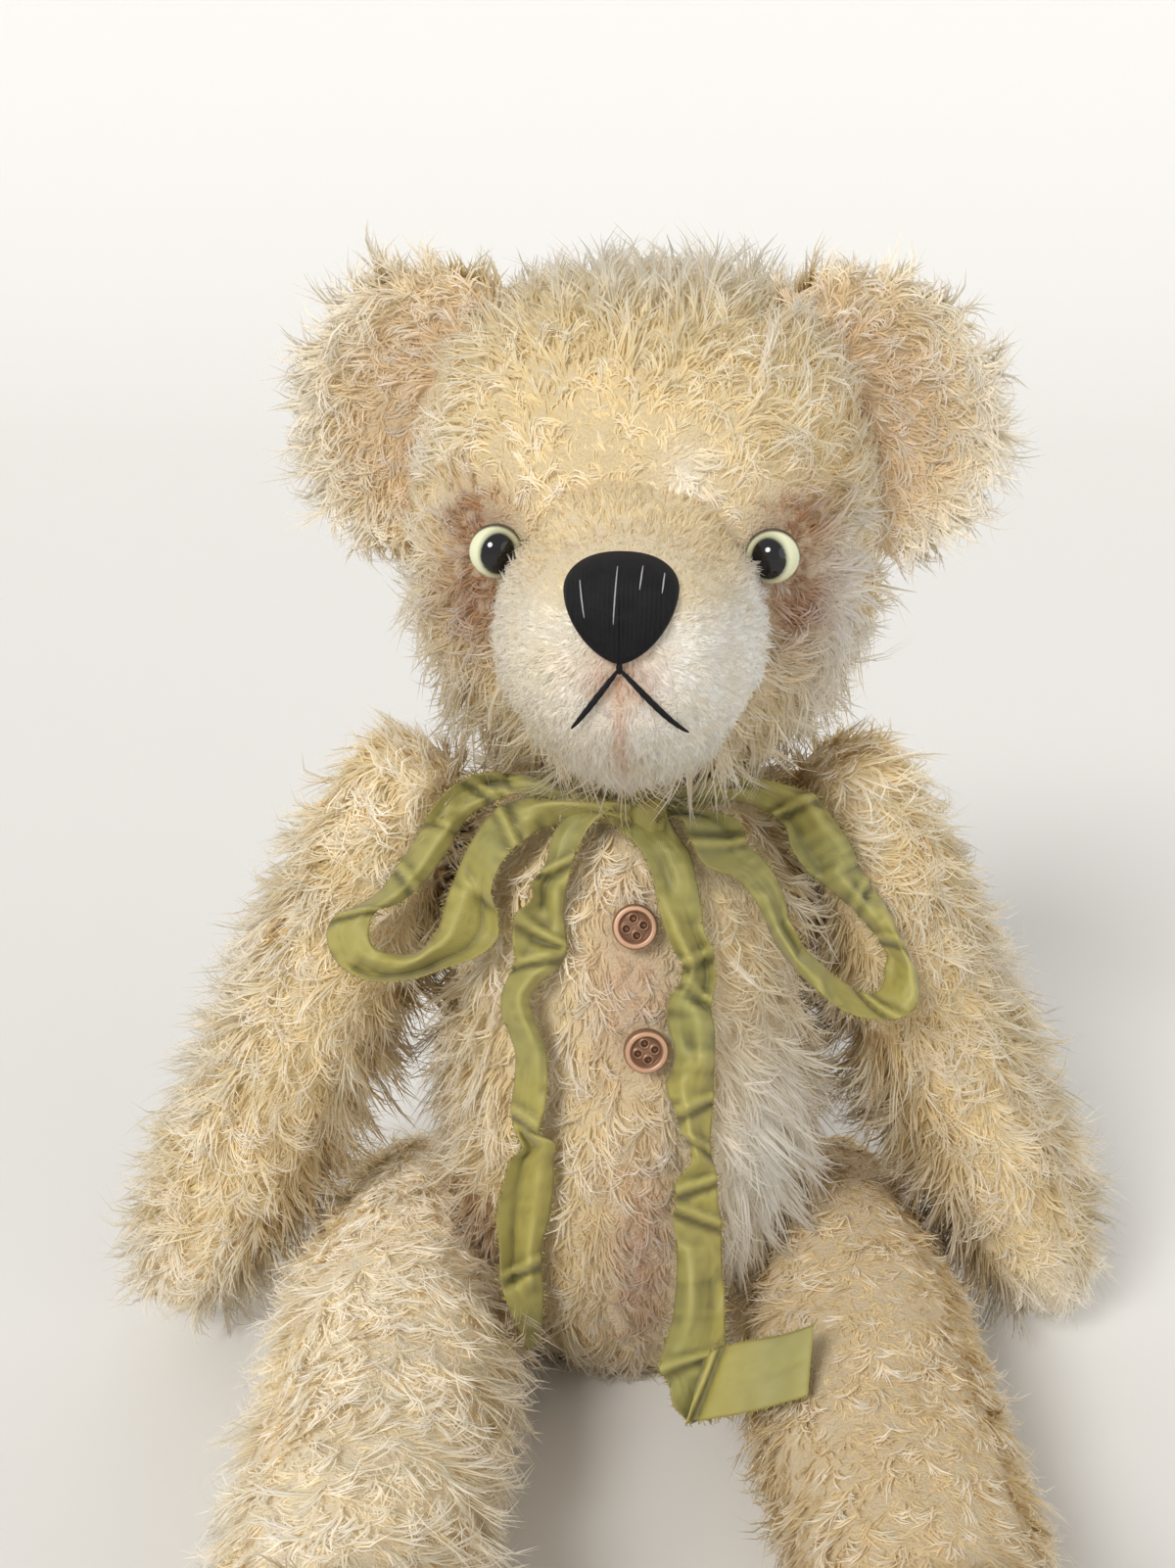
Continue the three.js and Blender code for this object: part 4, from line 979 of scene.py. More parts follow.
def clear_face(coat, local):
    """Leaves the nose, the mouth and the eyes free of the muzzle's pile, and browns it beside the eyes."""
    nose = (local[:, 0] / (NOSE_WIDTH / 2)) ** 2 + ((local[:, 2] - NOSE_RISE) / (NOSE_HEIGHT / 2)) ** 2 < 0.72
    coat.keep *= ~(nose & (local[:, 1] < -55))
    coat.keep *= mouth_distance(local) > 0.6
    coat.keep *= ~within(FORMS["cranium"], local, 0.3)
    for eye in eye_centres().values():
        coat.keep *= np.linalg.norm(local - eye, axis=1) > EYE_RADIUS + 1
        coat.stain(0.8 * near(local, eye + np.array([0, 0, -6]), (8, 12, 10)), tint("shade"), 0.9)


def ear_coat(points, normals, sign):
    """Combed from the root to the rim and down; shorter and tanner inside the cup, white at the rim."""
    coat = Coat(points, normals, 31 + sign)
    local, facing = HEAD.back(points), normals @ HEAD.turn
    root = np.array([sign * 40, 2, 80])
    coat.comb = unit(local - root) @ HEAD.turn.T
    coat.comb[:, 2] -= 0.5
    span = np.linalg.norm(local - root, axis=1)
    front = ramp(-facing[:, 1], 0.1, 0.5)
    cup = front * (1 - ramp(span, 18, 40))
    coat.length *= 0.85 - 0.3 * cup + 0.2 * ramp(span, 28, 40)
    coat.lean += 0.05 - 0.28 * ramp(span, 26, 40)
    coat.stain(0.55 * cup + 0.1 * front, blend(np.array(0.4), tint("cloth"), tint("blush")), 0.7)
    coat.stain(0.7 * ramp(span, 29, 41), tint("tip"))
    coat.keep *= ~within(FORMS["cranium"], local, -1.0)
    coat.swirl(0.9, 9)
    return coat


def trunk_coat(points, normals):
    """Combed down and aside; threadbare down the middle, long and white on the left of the belly, and full at
    the sides and on the shoulders."""
    coat = Coat(points, normals, 41)
    coat.comb = np.stack([points[:, 0] / 90, -0.1 + 0 * points[:, 0], np.full(len(points), -1.0)], axis=1)
    front = ramp(-normals[:, 1], 0.1, 0.5)
    beside = ramp(np.abs(normals[:, 0]), 0.45, 0.9)
    shoulder = ramp(points[:, 2], 132, 152)
    coat.length *= 1 + 0.4 * beside + 0.45 * shoulder * (1 - front)
    coat.lean -= 0.32 * beside + 0.4 * shoulder * (1 - front)
    bare = np.maximum(front * patch(points, "bare_belly"), 0.85 * front * patch(points, "bare_chest"))
    white = front * patch(points, "white_side")
    coat.length *= 1 - 0.45 * bare + 0.45 * white
    coat.keep *= np.where(np.random.default_rng(5).random(len(points)) < 0.4 * bare, 0, 1)
    coat.stain(0.85 * bare, tint("bare"), 0.75)
    coat.stain(0.95 * white, tint("muzzle"))
    coat.wave *= 1 - 0.6 * white
    coat.stain(0.7 * (front * patch(points, "hip_crease")), tint("shade"), 0.8)
    for x, z in BUTTONS.values():
        far = np.hypot(points[:, 0] - x, points[:, 2] - z)
        coat.length *= 1 - 0.75 * front * (1 - ramp(far, 6, 11))
    coat.press(under_bow(points, normals))
    for sign in SIDE_NAME:
        under_leg = within(FORMS["leg"], LEGS[sign].back(points), 2, sign)
        under_arm = within(FORMS["arm"], ARMS[sign].back(points), 2, sign)
        coat.length *= np.where(under_leg | under_arm, 0.4, 1)
    coat.swirl(0.5, 13)
    return coat


def arm_coat(points, normals, sign):
    """Combed over the shoulder and down the arm, curly, full at both sides, short and pale on the paw."""
    coat = Coat(points, normals, 53 + sign)
    local, facing = ARMS[sign].back(points), normals @ ARMS[sign].turn
    way = np.tile(np.array([sign * 0.15, -0.12, -1.0]), (len(points), 1))
    top = ramp(local[:, 2], -24, 14)
    way = blend(top, way, np.array([sign * 1.0, -0.35, -0.7]))
    coat.comb = way @ ARMS[sign].turn.T
    paw = 1 - ramp(local[:, 2], -146, -118)
    outer = ramp(sign * facing[:, 0], 0.2, 0.9)
    inner = ramp(-sign * facing[:, 0], 0.2, 0.9)
    coat.length *= 1 - 0.4 * paw * (0.3 if sign < 0 else 1) + 0.3 * outer + 0.55 * inner
    coat.lean += 0.06 * paw - 0.34 * outer * (1 - top) - 0.5 * inner
    coat.stain((0.65 if sign > 0 else 0.35) * paw, tint("muzzle"))
    coat.press(under_bow(points, normals))
    coat.length *= np.where(within(FORMS["trunk"], points, 1), TUCKED, 1)
    coat.swirl(1.2, 10)
    return coat


def leg_coat(points, normals, sign):
    """Combed towards the foot and down its sides; the left leg is rubbed flat and darker tan, partly its own
    colour and partly painted shade.
    """
    coat = Coat(points, normals, 67 + sign)
    aside = points[:, 0] - sign * 58
    coat.comb = np.stack([aside / 60, np.full(len(points), -1.0), -0.5 - 0 * aside], axis=1)
    rubbed = np.full(len(points), 0.8 if sign > 0 else 0.1) * ramp(points[:, 2], 8, 30)
    beside = ramp(np.abs(normals[:, 0]), 0.4, 0.9)
    coat.length *= 1.08 - 0.45 * rubbed + 0.25 * beside
    coat.lean += 0.1 * rubbed - 0.26 * beside
    # Partly the left leg's own tan, partly painted shade: its pile goes darker towards tan.
    coat.stain(0.85 * rubbed, blend(np.array(0.5), tint("base"), tint("cloth")), 0.85)
    coat.stain(np.full(len(points), 0.0 if sign > 0 else 0.35), tint("tip"))
    coat.press(under_bow(points, normals) * ramp(points[:, 2], 20, 40), lean=0)
    coat.length *= np.where(within(FORMS["trunk"], points, 1), TUCKED, 1)
    coat.keep *= points[:, 2] > 1.5
    coat.keep *= points[:, 1] > SOLE_AT + HIP[1] + 3.5
    coat.length *= 0.45 + 0.55 * ramp(points[:, 2], 2, 14)
    coat.swirl(1.1 if sign > 0 else 1.6, 15)
    return coat


def coat_of(name, points, normals):
    """The coat of a named skin at some of its places."""
    kind = name.split("_")[-1]
    if kind in ("cranium", "muzzle", "trunk"):
        return {"cranium": cranium_coat, "muzzle": muzzle_coat, "trunk": trunk_coat}[kind](points, normals)
    sign = 1 if name.startswith("left") else -1
    coat = {"ear": ear_coat, "arm": arm_coat, "leg": leg_coat, "foot": leg_coat}[kind](points, normals, sign)
    if kind == "foot":
        coat.keep *= ~within(FORMS["leg"], LEGS[sign].back(points), -1, sign)
    return coat


def undercoat(coat):
    """The same coat's short dense pile, without the white tips."""
    coat.length = 2.2 + 0.36 * coat.length
    coat.lean = coat.lean - 0.12
    coat.tip = blend(np.full(len(coat.points), 0.35), coat.middle, coat.tip)
    return coat


def overcoat(coat):
    """The same coat's long locks, paler towards the tips, some of them more than others: partly the mohair's
    own pale tips, partly painted highlight.
    """
    pale_tip_and_highlight = np.clip(0.55 + 0.6 * noise(coat.points, 3.5, coat.seed + 9), 0, 1)
    # Partly paler mohair, partly painted highlight: middles go towards the tips, and tips towards near white.
    coat.middle = blend(0.6 * pale_tip_and_highlight, coat.middle, coat.tip)
    coat.tip = blend(0.7 * pale_tip_and_highlight, coat.tip, np.maximum(coat.tip, 0.82))
    return coat


# Fur


class Draws:
    """Random values for the locks of one piece: one for each strand, or one for each lock."""

    def __init__(self, rng, count, per_lock):
        self.rng, self.count, self.per_lock = rng, count, per_lock

    def strand(self, low, high):
        """One even draw between low and high for each strand."""
        return self.rng.uniform(low, high, (self.count, self.per_lock))

    def lock(self, low, high):
        """One even draw between low and high for each lock."""
        return self.rng.uniform(low, high, (self.count, 1))


def strand_offsets(draw, comb, side, spread):
    """Where each strand stands in its lock."""
    angle, radius = draw.strand(0, 2 * math.pi), spread * np.sqrt(draw.strand(0, 1))
    aside, ahead = np.cos(angle) * radius, np.sin(angle) * radius
    return aside[..., None] * side[:, None] + ahead[..., None] * comb[:, None]


def strand_steps(draw, coat, chosen, axes, s, curl):
    """Each strand's steps from root to tip: it leaves the skin near its normal, bends over to the comb
    direction, and curls to one side with its lock."""
    normal, comb, side = (axis[:, None, None] for axis in axes)
    lean = np.clip(coat.lean[chosen][:, None] + draw.strand(-0.1, 0.1) + draw.lock(-0.16, 0.16), *LEAN_LIMITS)
    reach = coat.length[chosen][:, None] * draw.strand(0.65, 1.1) * draw.lock(0.75, 1.2)
    first = np.radians(22 + 30 * lean)[..., None]
    last = np.radians(35 + 72 * lean)[..., None]
    theta = first + (last - first) * s[1:] ** 0.8
    bend = curl * coat.wave[chosen][:, None] * (draw.lock(-1.7, 1.7) + draw.strand(-0.5, 0.5))
    swing = bend[..., None] * s[1:] ** 1.4
    ahead = np.cos(swing) * np.sin(theta)
    aside = np.sin(swing) * np.sin(theta)
    way = normal * np.cos(theta)[..., None] + comb * ahead[..., None] + side * aside[..., None]
    return way * (reach / (len(s) - 1))[..., None, None]


def grow(name, coat, body, rng, style):
    """Locks of tapered strands on the kept places of a coat, as one piece. Each strand draws in towards the
    middle of its lock at the tip, and is turned so that its flat side faces outwards."""
    per_lock, points, spread, width, curl = style
    chosen = rng.random(len(coat.points)) < coat.keep
    coat.settle()
    root, normal, comb = coat.points[chosen], coat.normals[chosen], coat.comb[chosen]
    side = np.cross(normal, comb)
    draw = Draws(rng, len(root), per_lock)
    s = np.linspace(0, 1, points)
    offset = strand_offsets(draw, comb, side, spread)
    step = strand_steps(draw, coat, chosen, (normal, comb, side), s, curl)
    path = np.concatenate([np.zeros((len(root), per_lock, 1, 3)), np.cumsum(step, axis=2)], axis=2)
    gather = (1 - LOCK_GATHER * s)[:, None]
    centre = root[:, None, None] + offset[:, :, None] * gather + path - ROOT_SINK * normal[:, None, None]
    centre[..., 2] = np.maximum(centre[..., 2], STRAND_FLOOR)
    facing = unit(normal[:, None, None] * (1.0 - 0.3 * s[:, None]) + 0.4 * comb[:, None, None] * s[:, None])
    onward = unit(np.concatenate([step[:, :, :1], step], axis=2))
    flat = unit(np.cross(facing, onward))
    tilt = draw.strand(-0.6, 0.6)[..., None, None]
    across = flat * np.cos(tilt) + np.cross(onward, flat) * np.sin(tilt)
    half = (width * draw.strand(0.7, 1.25))[..., None] * (1 - 0.5 * s**2) / 2
    shade = strand_colours(coat, chosen, s, rng, per_lock)
    return strand_mesh(name, centre, across, half, shade, facing, body)


def strand_colours(coat, chosen, s, rng, per_lock):
    """Root, middle and tip colours along each strand, each lock and strand a little lighter or darker. Darker
    at the root and paler at the tip: partly the mohair's own colour, partly painted shade at the roots and
    painted highlight at the tips.
    """
    base, middle, tip = (x[chosen][:, None, None] for x in (coat.base, coat.middle, coat.tip))
    low = np.clip(s / MIDDLE_AT, 0, 1)[:, None]
    high = np.clip((s - MIDDLE_AT) / (1 - MIDDLE_AT), 0, 1)[:, None]
    shade = (base * (1 - low) + middle * low) * (1 - high) + tip * high
    each_strand = rng.uniform(0.86, 1.12, (len(base), per_lock, 1, 1))
    each_lock = rng.uniform(0.9, 1.1, (len(base), 1, 1, 1))
    return np.clip(shade * (each_strand * each_lock), 0, 1)


def strand_mesh(name, centre, across, half, shade, facing, body):
    """Flat tapered strands: pairs of edge points that meet in one point at the tip. Their normals follow the
    skin below, rounded across each strand, so that the pile is lit as one soft surface."""
    count = centre.shape[0] * centre.shape[1]
    steps = centre.shape[2]
    middle = centre.reshape(count, steps, 3)
    flat = np.broadcast_to(across, centre.shape).reshape(count, steps, 3)
    wide = flat * half.reshape(count, steps, 1)
    edges = np.stack([middle[:, :-1] - wide[:, :-1], middle[:, :-1] + wide[:, :-1]], axis=2)
    points = np.concatenate([edges.reshape(count, -1, 3), middle[:, -1:]], axis=1)
    out = np.broadcast_to(facing, centre.shape).reshape(count, steps, 3)
    rounded = np.stack([out[:, :-1] - 0.5 * flat[:, :-1], out[:, :-1] + 0.5 * flat[:, :-1]], axis=2)
    normals = unit(np.concatenate([rounded.reshape(count, -1, 3), out[:, -1:]], axis=1))
    paint = shade.reshape(count, steps, 3)
    paint = np.concatenate([np.repeat(paint[:, :-1], 2, axis=1), paint[:, -1:]], axis=1)
    j = np.arange(steps - 2)
    quad = np.stack([2 * j, 2 * j + 2, 2 * j + 3, 2 * j + 1], axis=1)
    last = 2 * (steps - 2)
    tip = np.array([[last, last + 2, last + 1]])
    start = (np.arange(count) * (2 * steps - 1))[:, None, None]
    return mesh_object(
        name, points.reshape(-1, 3), (quad[None] + start).reshape(-1, 4), bpy.data.materials["curly_mohair"],
        body, uv=strand_cells(count, steps), coat=paint.reshape(-1, 3),
        tail=(tip[None] + start).reshape(-1, 3), normals=normals.reshape(-1, 3))


def strand_cells(count, steps):
    """A small cell of the flat map for each strand, its two edges side by side and its tip at the end."""
    cells = math.ceil(math.sqrt(count))
    cell = np.stack([np.arange(count) % cells, np.arange(count) // cells], axis=1)
    along = (np.arange(steps - 1) + 0.5) / steps
    own = np.stack(np.broadcast_arrays(np.array([0.2, 0.8]), along[:, None]), -1).reshape(-1, 2)
    own = np.concatenate([own, [[0.5, 0.95]]])
    return ((cell[:, None] + 0.1 + 0.8 * own[None]) / cells).reshape(-1, 2)


# Face


def nose_edge(turn):
    """The nose's outline seen from the front: full rounded shoulders above its widest line, which is a third
    of the way down, and a long taper to a blunt tip below it."""
    x, z = np.cos(turn), np.sin(turn)
    power = np.where(z > 0, 0.96, 1.25)
    wide = np.sign(x) * np.abs(x) ** power * NOSE_WIDTH / 2 * 1.02
    up = np.sign(z) * np.abs(z) ** power * NOSE_HEIGHT * np.where(z > 0, 0.3, 0.68)
    return wide, up + NOSE_HEIGHT * 0.18


def nose_threads():
    """The few pale threads down the nose's upper part, as ends seen from the front in the head's frame."""
    top, half = NOSE_RISE + 0.44 * NOSE_HEIGHT, NOSE_WIDTH / 2
    tall = 0.94 * NOSE_HEIGHT
    return [((half * a, top - tall * low), (half * b, top - tall * high)) for a, b, low, high in NOSE_THREADS]


def nose_grid(rings=40, sides=160):
    """Rings from the middle out to the outline; the pad is full in the middle and rounds over at its edge,
    and fine ridges run from top to bottom where the threads lie side by side."""
    share = np.linspace(0, 1, rings)[:, None] ** 0.8
    wide, up = nose_edge(around(sides))
    x, z = wide * share, NOSE_RISE + up * share
    y = muzzle_front(x, z)
    fan = x / (1 - 0.3 * np.clip((NOSE_RISE - z) / NOSE_HEIGHT, 0, 1))
    ridge = np.abs(np.sin(math.pi * fan / sizes().thread)) ** 0.7
    swell = 2.5 * np.sqrt(np.clip(1 - share**5, 0, 1)) - 0.4
    return np.stack([x, y - swell - 0.34 * ridge * (share < 0.97), z], axis=-1)


def mouth_lines():
    """The mouth's three straight stitches, as ends seen from the front in the head's frame."""
    top = NOSE_RISE - NOSE_HEIGHT / 2
    fork = top - MOUTH_STEM
    ends = [((-0.3, fork + 0.5), (-MOUTH_RIGHT[0], fork - MOUTH_RIGHT[1])),
            ((0.3, fork + 0.5), (MOUTH_LEFT[0], fork - MOUTH_LEFT[1]))]
    return [((0, top + 0.6), (0, fork - 0.3)), *ends]


def mouth_distance(local):
    """How far a place on the muzzle lies from the mouth's stitches, as seen from the front."""
    spot = local[:, [0, 2]]
    best = np.full(len(local), 99.0)
    for a, b in mouth_lines():
        a, b = np.array(a), np.array(b)
        t = np.clip((spot - a) @ (b - a) / np.sum((b - a) ** 2), 0, 1)
        best = np.minimum(best, np.linalg.norm(spot - a - t[:, None] * (b - a), axis=1))
    return np.where(local[:, 1] < -60, best, 99.0)


def stitch_grid(a, b, radius, lift=0.3, rows=40, sides=12):
    """A round thread carried along a straight line over the muzzle, drawn in at both ends, with a twist of
    three strands."""
    t = np.linspace(0, 1, rows)
    x, z = a[0] + (b[0] - a[0]) * t, a[1] + (b[1] - a[1]) * t
    middle = np.stack([x, muzzle_front(x, z) - lift, z], axis=-1)
    ahead = unit(np.gradient(middle, axis=0))
    aside = unit(np.cross(ahead, np.array([0, -1.0, 0])))
    out = np.cross(aside, ahead)
    turn = around(sides)
    run = np.linalg.norm(np.array(b) - np.array(a)) * t
    twist = 1 + 0.2 * np.abs(np.sin(1.5 * turn + run[:, None] * 1.6))
    draw = radius * np.clip(np.sin(math.pi * (0.06 + 0.94 * t)), 0, 1)[:, None] ** 0.4 * twist
    return (middle[:, None] + aside[:, None] * (np.cos(turn) * draw)[..., None]
            + out[:, None] * (np.sin(turn) * draw)[..., None])


def eye_shape(centre, sign, rows=48, sides=64):
    """A ball from front pole to back pole, with its colours: pupil towards the nose, pale ring, dark edge."""
    angle, turn = pole_to_pole(rows), around(sides)
    x = np.sin(angle) * np.cos(turn)
    z = np.sin(angle) * np.sin(turn)
    grid = centre + EYE_RADIUS * np.stack([x, -np.cos(angle) + 0 * turn, z], axis=-1)
    from_pupil = np.hypot(1.12 * (x + sign * 0.15), 0.94 * (z - 0.06))
    ring = ramp(from_pupil, 0.67, 0.73)
    glow = 0.45 + 0.55 * ramp(from_pupil, 0.68, 0.9)
    paint = tint("iris") * glow[..., None] * ring[..., None] + (1 - ring)[..., None] * PUPIL
    edge = ramp(np.hypot(x, z), 0.93, 0.99) * (angle < EYE_FRONT) + 1.0 * (angle >= EYE_FRONT)
    edge = np.clip(edge, 0, 1)[..., None]
    return grid, paint * (1 - edge) + EYE_EDGE * edge


# Ribbon


def strip_shape(tree, name, seed):
    """A strip between its two edges over the solids: the depth under it is drawn tight, its folded section
    stands on the pressed fur, and kinks and creases cross it. The left tail comes forward to its end."""
    edges, at = bow_rows(name, STRIP_STEP)
    width = np.linalg.norm(edges[:, 1] - edges[:, 0], axis=1)
    share, height = strip_section(at, width, seed, STRIP_COLUMNS)
    flat = edges[:, :1] + (edges[:, 1:] - edges[:, :1]) * share[..., None]
    depth = tight_depth(tree, edges, at)
    if name == "left_tail":
        level = tight_depth(tree, *bow_rows("tail_end", STRIP_STEP))[0]
        depth = np.minimum(depth, depth + (level + 1 - depth) * ramp(at, at[-1] - 48, at[-1] - 12))
    sheet = np.full((1, 1), 17.0 * seed)
    spot = np.stack(np.broadcast_arrays(at[:, None], share * width[:, None], sheet), axis=-1)
    crease = 1 - 2 * np.abs(noise(spot * np.array([1.0, 0.5, 1.0]), 3.4, 94))
    fine = 1 - 2 * np.abs(noise(spot * np.array([0.6, 1.0, 1.0]), 1.6, 95))
    loose = 0.3 if name == "tail_end" else 1.0
    height = height + loose * (0.25 * crease + 0.15 * fine)
    for k, place in enumerate(KINKS[name]):
        off = at[:, None] - place * at[-1] + (-1) ** k * 4 * (share - 0.5)
        height = height + 1.9 * np.exp(-((off / 1.0) ** 2)) - 1.1 * np.exp(-(((off - 2.3) / 1.3) ** 2))
    away = depth[:, None] - sizes().ribbon_lift - 0.8 - height
    points = KNOT + LAY_UP * flat[..., 1:] + LAY_LOOK * away[..., None]
    points[..., 0] = KNOT[0] + flat[..., 0]
    points[..., 2] = np.maximum(points[..., 2], RIBBON_FLOOR)
    return points, strip_paint(away, spot, fine), at


def strip_section(at, width, seed, columns):
    """The ribbon's full width folded into the width that shows: each step across slopes up or down by the
    angle whose cosine is the share that shows. Gives shares across and heights above the lowest place."""
    full = sizes().ribbon_width
    slant = np.arccos(np.clip(width / full, 0.34, 0.97))[:, None]
    share = np.linspace(-1, 1, columns - 1)[None]
    sheet = np.full((1, 1), 7.7 * seed)
    spot = np.stack(np.broadcast_arrays(at[:, None] / 20, 1.3 * share, sheet), axis=-1)
    fold = np.tanh(7.0 * noise(spot, 1.0, 61) + 1.2 * noise(spot * 3, 1.0, 62))
    slope = slant * fold
    zero = np.zeros((len(at), 1))
    run = np.concatenate([zero, np.cumsum(np.cos(slope), axis=1)], axis=1)
    rise = np.concatenate([zero, np.cumsum(np.sin(slope), axis=1)], axis=1) * full / (columns - 1)
    rise -= rise.min(axis=1, keepdims=True)
    rise *= np.minimum(1, FOLD_HEIGHT / np.maximum(rise.max(axis=1, keepdims=True), 0.1))
    return run / run[:, -1:], rise


def strip_paint(away, spot, fine):
    """Painted highlight on the ridges, painted shade in the hollows, greener in patches, and browner at the
    two edges.
    """
    hollow = np.clip((away - blurred(away, 4)) / 0.9, -1, 1)
    green = np.clip(0.4 + 1.2 * noise(spot, 18, 96), 0, 1)
    paint = blend(0.7 * green, tint("ribbon"), tint("ribbon_green"))
    # Painted highlight: the ridges and fine creases go towards the pale colour.
    paint = blend(np.clip(-0.6 * hollow + 0.12 * fine, 0, 0.6), paint, tint("ribbon_pale_and_highlight"))
    # Painted shade: the hollows go towards a darkened copy of the dark colour.
    paint = blend(np.clip(1.1 * hollow, 0, 0.85), paint, 0.35 * tint("ribbon_stain_and_shade"))
    rim = np.abs(np.linspace(-1, 1, away.shape[1]))[None] ** 14
    return blend(0.5 * rim + 0 * away, paint, tint("fray"))


def tight_depth(tree, edges, at):
    """The least depth of the solids under three rows of a strip, bridged over hollows and then smoothed."""
    pick = np.unique(np.linspace(0, len(at) - 1, max(10, len(at) // 5)).astype(int))
    least = np.full(len(pick), 500.0)
    for share in (0.15, 0.5, 0.85):
        flat = edges[pick, 0] * (1 - share) + edges[pick, 1] * share
        spots = KNOT + LAY_UP * flat[:, 1:]
        spots[:, 0] = KNOT[0] + flat[:, 0]
        depth = laid(tree, spots, LAY_LOOK)
        floor = (spots[:, 2] - 0.4) / -LAY_LOOK[2]
        least = np.minimum(least, np.where(np.isnan(depth), floor, np.minimum(depth, floor)))
    step = 0.6 * np.diff(at[pick])
    for _ in range(3 * len(pick)):
        least[1:-1] = np.minimum(least[1:-1], (least[:-2] + least[2:]) / 2)
        least[1:] = np.minimum(least[1:], least[:-1] + step)
        least[:-1] = np.minimum(least[:-1], least[1:] + step)
    smooth = np.pad(np.interp(at, at[pick], least), STRIP_SMOOTH, mode="edge")
    kernel = np.hanning(2 * STRIP_SMOOTH + 1)
    return np.convolve(smooth, kernel / kernel.sum(), mode="valid")


def frayed(points, rng):
    """Loose threads that stick out of a strip's two edges, each a thin triangle."""
    root = np.repeat(np.concatenate([points[:, 0], points[:, -1]]), 2, axis=0)
    out = unit(np.concatenate([points[:, 0] - points[:, 2], points[:, -1] - points[:, -3]]))
    along = unit(np.concatenate([np.gradient(points[:, 0], axis=0), np.gradient(points[:, -1], axis=0)]))
    out, along = np.repeat(out, 2, axis=0), np.repeat(along, 2, axis=0)
    count = len(root)
    root = root + along * rng.uniform(-0.4, 0.4, (count, 1))
    reach = 0.3 + 2.0 * rng.random((count, 1)) ** 2
    tip = root + unit(out + rng.normal(0, 0.6, (count, 3))) * reach
    tip[:, 2] = np.maximum(tip[:, 2], RIBBON_FLOOR)
    corners = np.stack([root - FRAY_HALF * along, root + FRAY_HALF * along, tip], axis=1)
    return corners.reshape(-1, 3)


def strip_piece(tree, name, seed, material):
    """One strip of the bow with its frayed edges, as a sheet that lies on the bear."""
    points, paint, at = strip_shape(tree, name, seed)
    rows, columns = points.shape[:2]
    u, v = np.meshgrid(np.linspace(0.02, 0.98, columns), at / 260 + 0.01)
    uv = np.stack([u * 0.07 + 0.12 * list(BOW).index(name), v], axis=-1)
    threads = frayed(points, np.random.default_rng(90 + seed))
    tail = np.arange(rows * columns, rows * columns + len(threads)).reshape(-1, 3)
    at_edge = np.repeat(np.concatenate([uv[:, 0], uv[:, -1]]), 6, axis=0)
    shades = np.repeat(blend(np.arange(len(tail)) % 7 / 7, tint("fray"), tint("ribbon_pale_and_highlight")), 3, axis=0)
    piece = mesh_object(
        name, np.concatenate([points.reshape(-1, 3), threads]), grid_faces(rows, columns, False)[:, ::-1],
        material, "torso", uv=np.concatenate([uv.reshape(-1, 2), at_edge]),
        coat=np.concatenate([paint.reshape(-1, 3), shades]), tail=tail)
    thicken(piece, RIBBON_THICKNESS)
    at[-1] * MM
    return piece


def knot_grid(rows=40, sides=48):
    """A pillow wrapped by the ribbon: an oval waisted in the middle, with folds that run down over it."""
    angle, turn = pole_to_pole(rows), around(sides)
    draw = np.sin(angle) ** 0.5
    waist = 1 - 0.12 * np.sin(angle) ** 4
    folds = 1 + 0.12 * np.abs(np.sin(4 * turn + 1.2 * np.cos(angle)))
    x = KNOT_HALF[0] * draw * np.cos(turn) * waist * folds
    y = KNOT_HALF[1] * draw * np.sin(turn) * folds
    return KNOT + np.stack([x, y - 0.4, -KNOT_HALF[2] * np.cos(angle) + 0 * turn], axis=-1)


def collar_grid(columns=160, rows=12):
    """A band round the neck whose radius ripples where the ribbon is gathered."""
    turn = around(columns)
    high = np.linspace(0, 1, rows)[:, None]
    key = np.stack([np.cos(turn) * 27 + 0 * high, np.sin(turn) * 27 + 0 * high, 9 * high + 0 * turn], axis=-1)
    ripple = 1 - np.abs(noise(key * np.array([1, 1, 0.3]), 4, 97))
    radius = COLLAR_RADIUS + 1.4 * ripple + 0.8 * np.sin(math.pi * high)
    z = COLLAR_LOW + COLLAR_WIDTH * high + 0 * turn
    return np.stack([NECK[0] + radius * np.cos(turn), radius * np.sin(turn), z], axis=-1), ripple


# Buttons


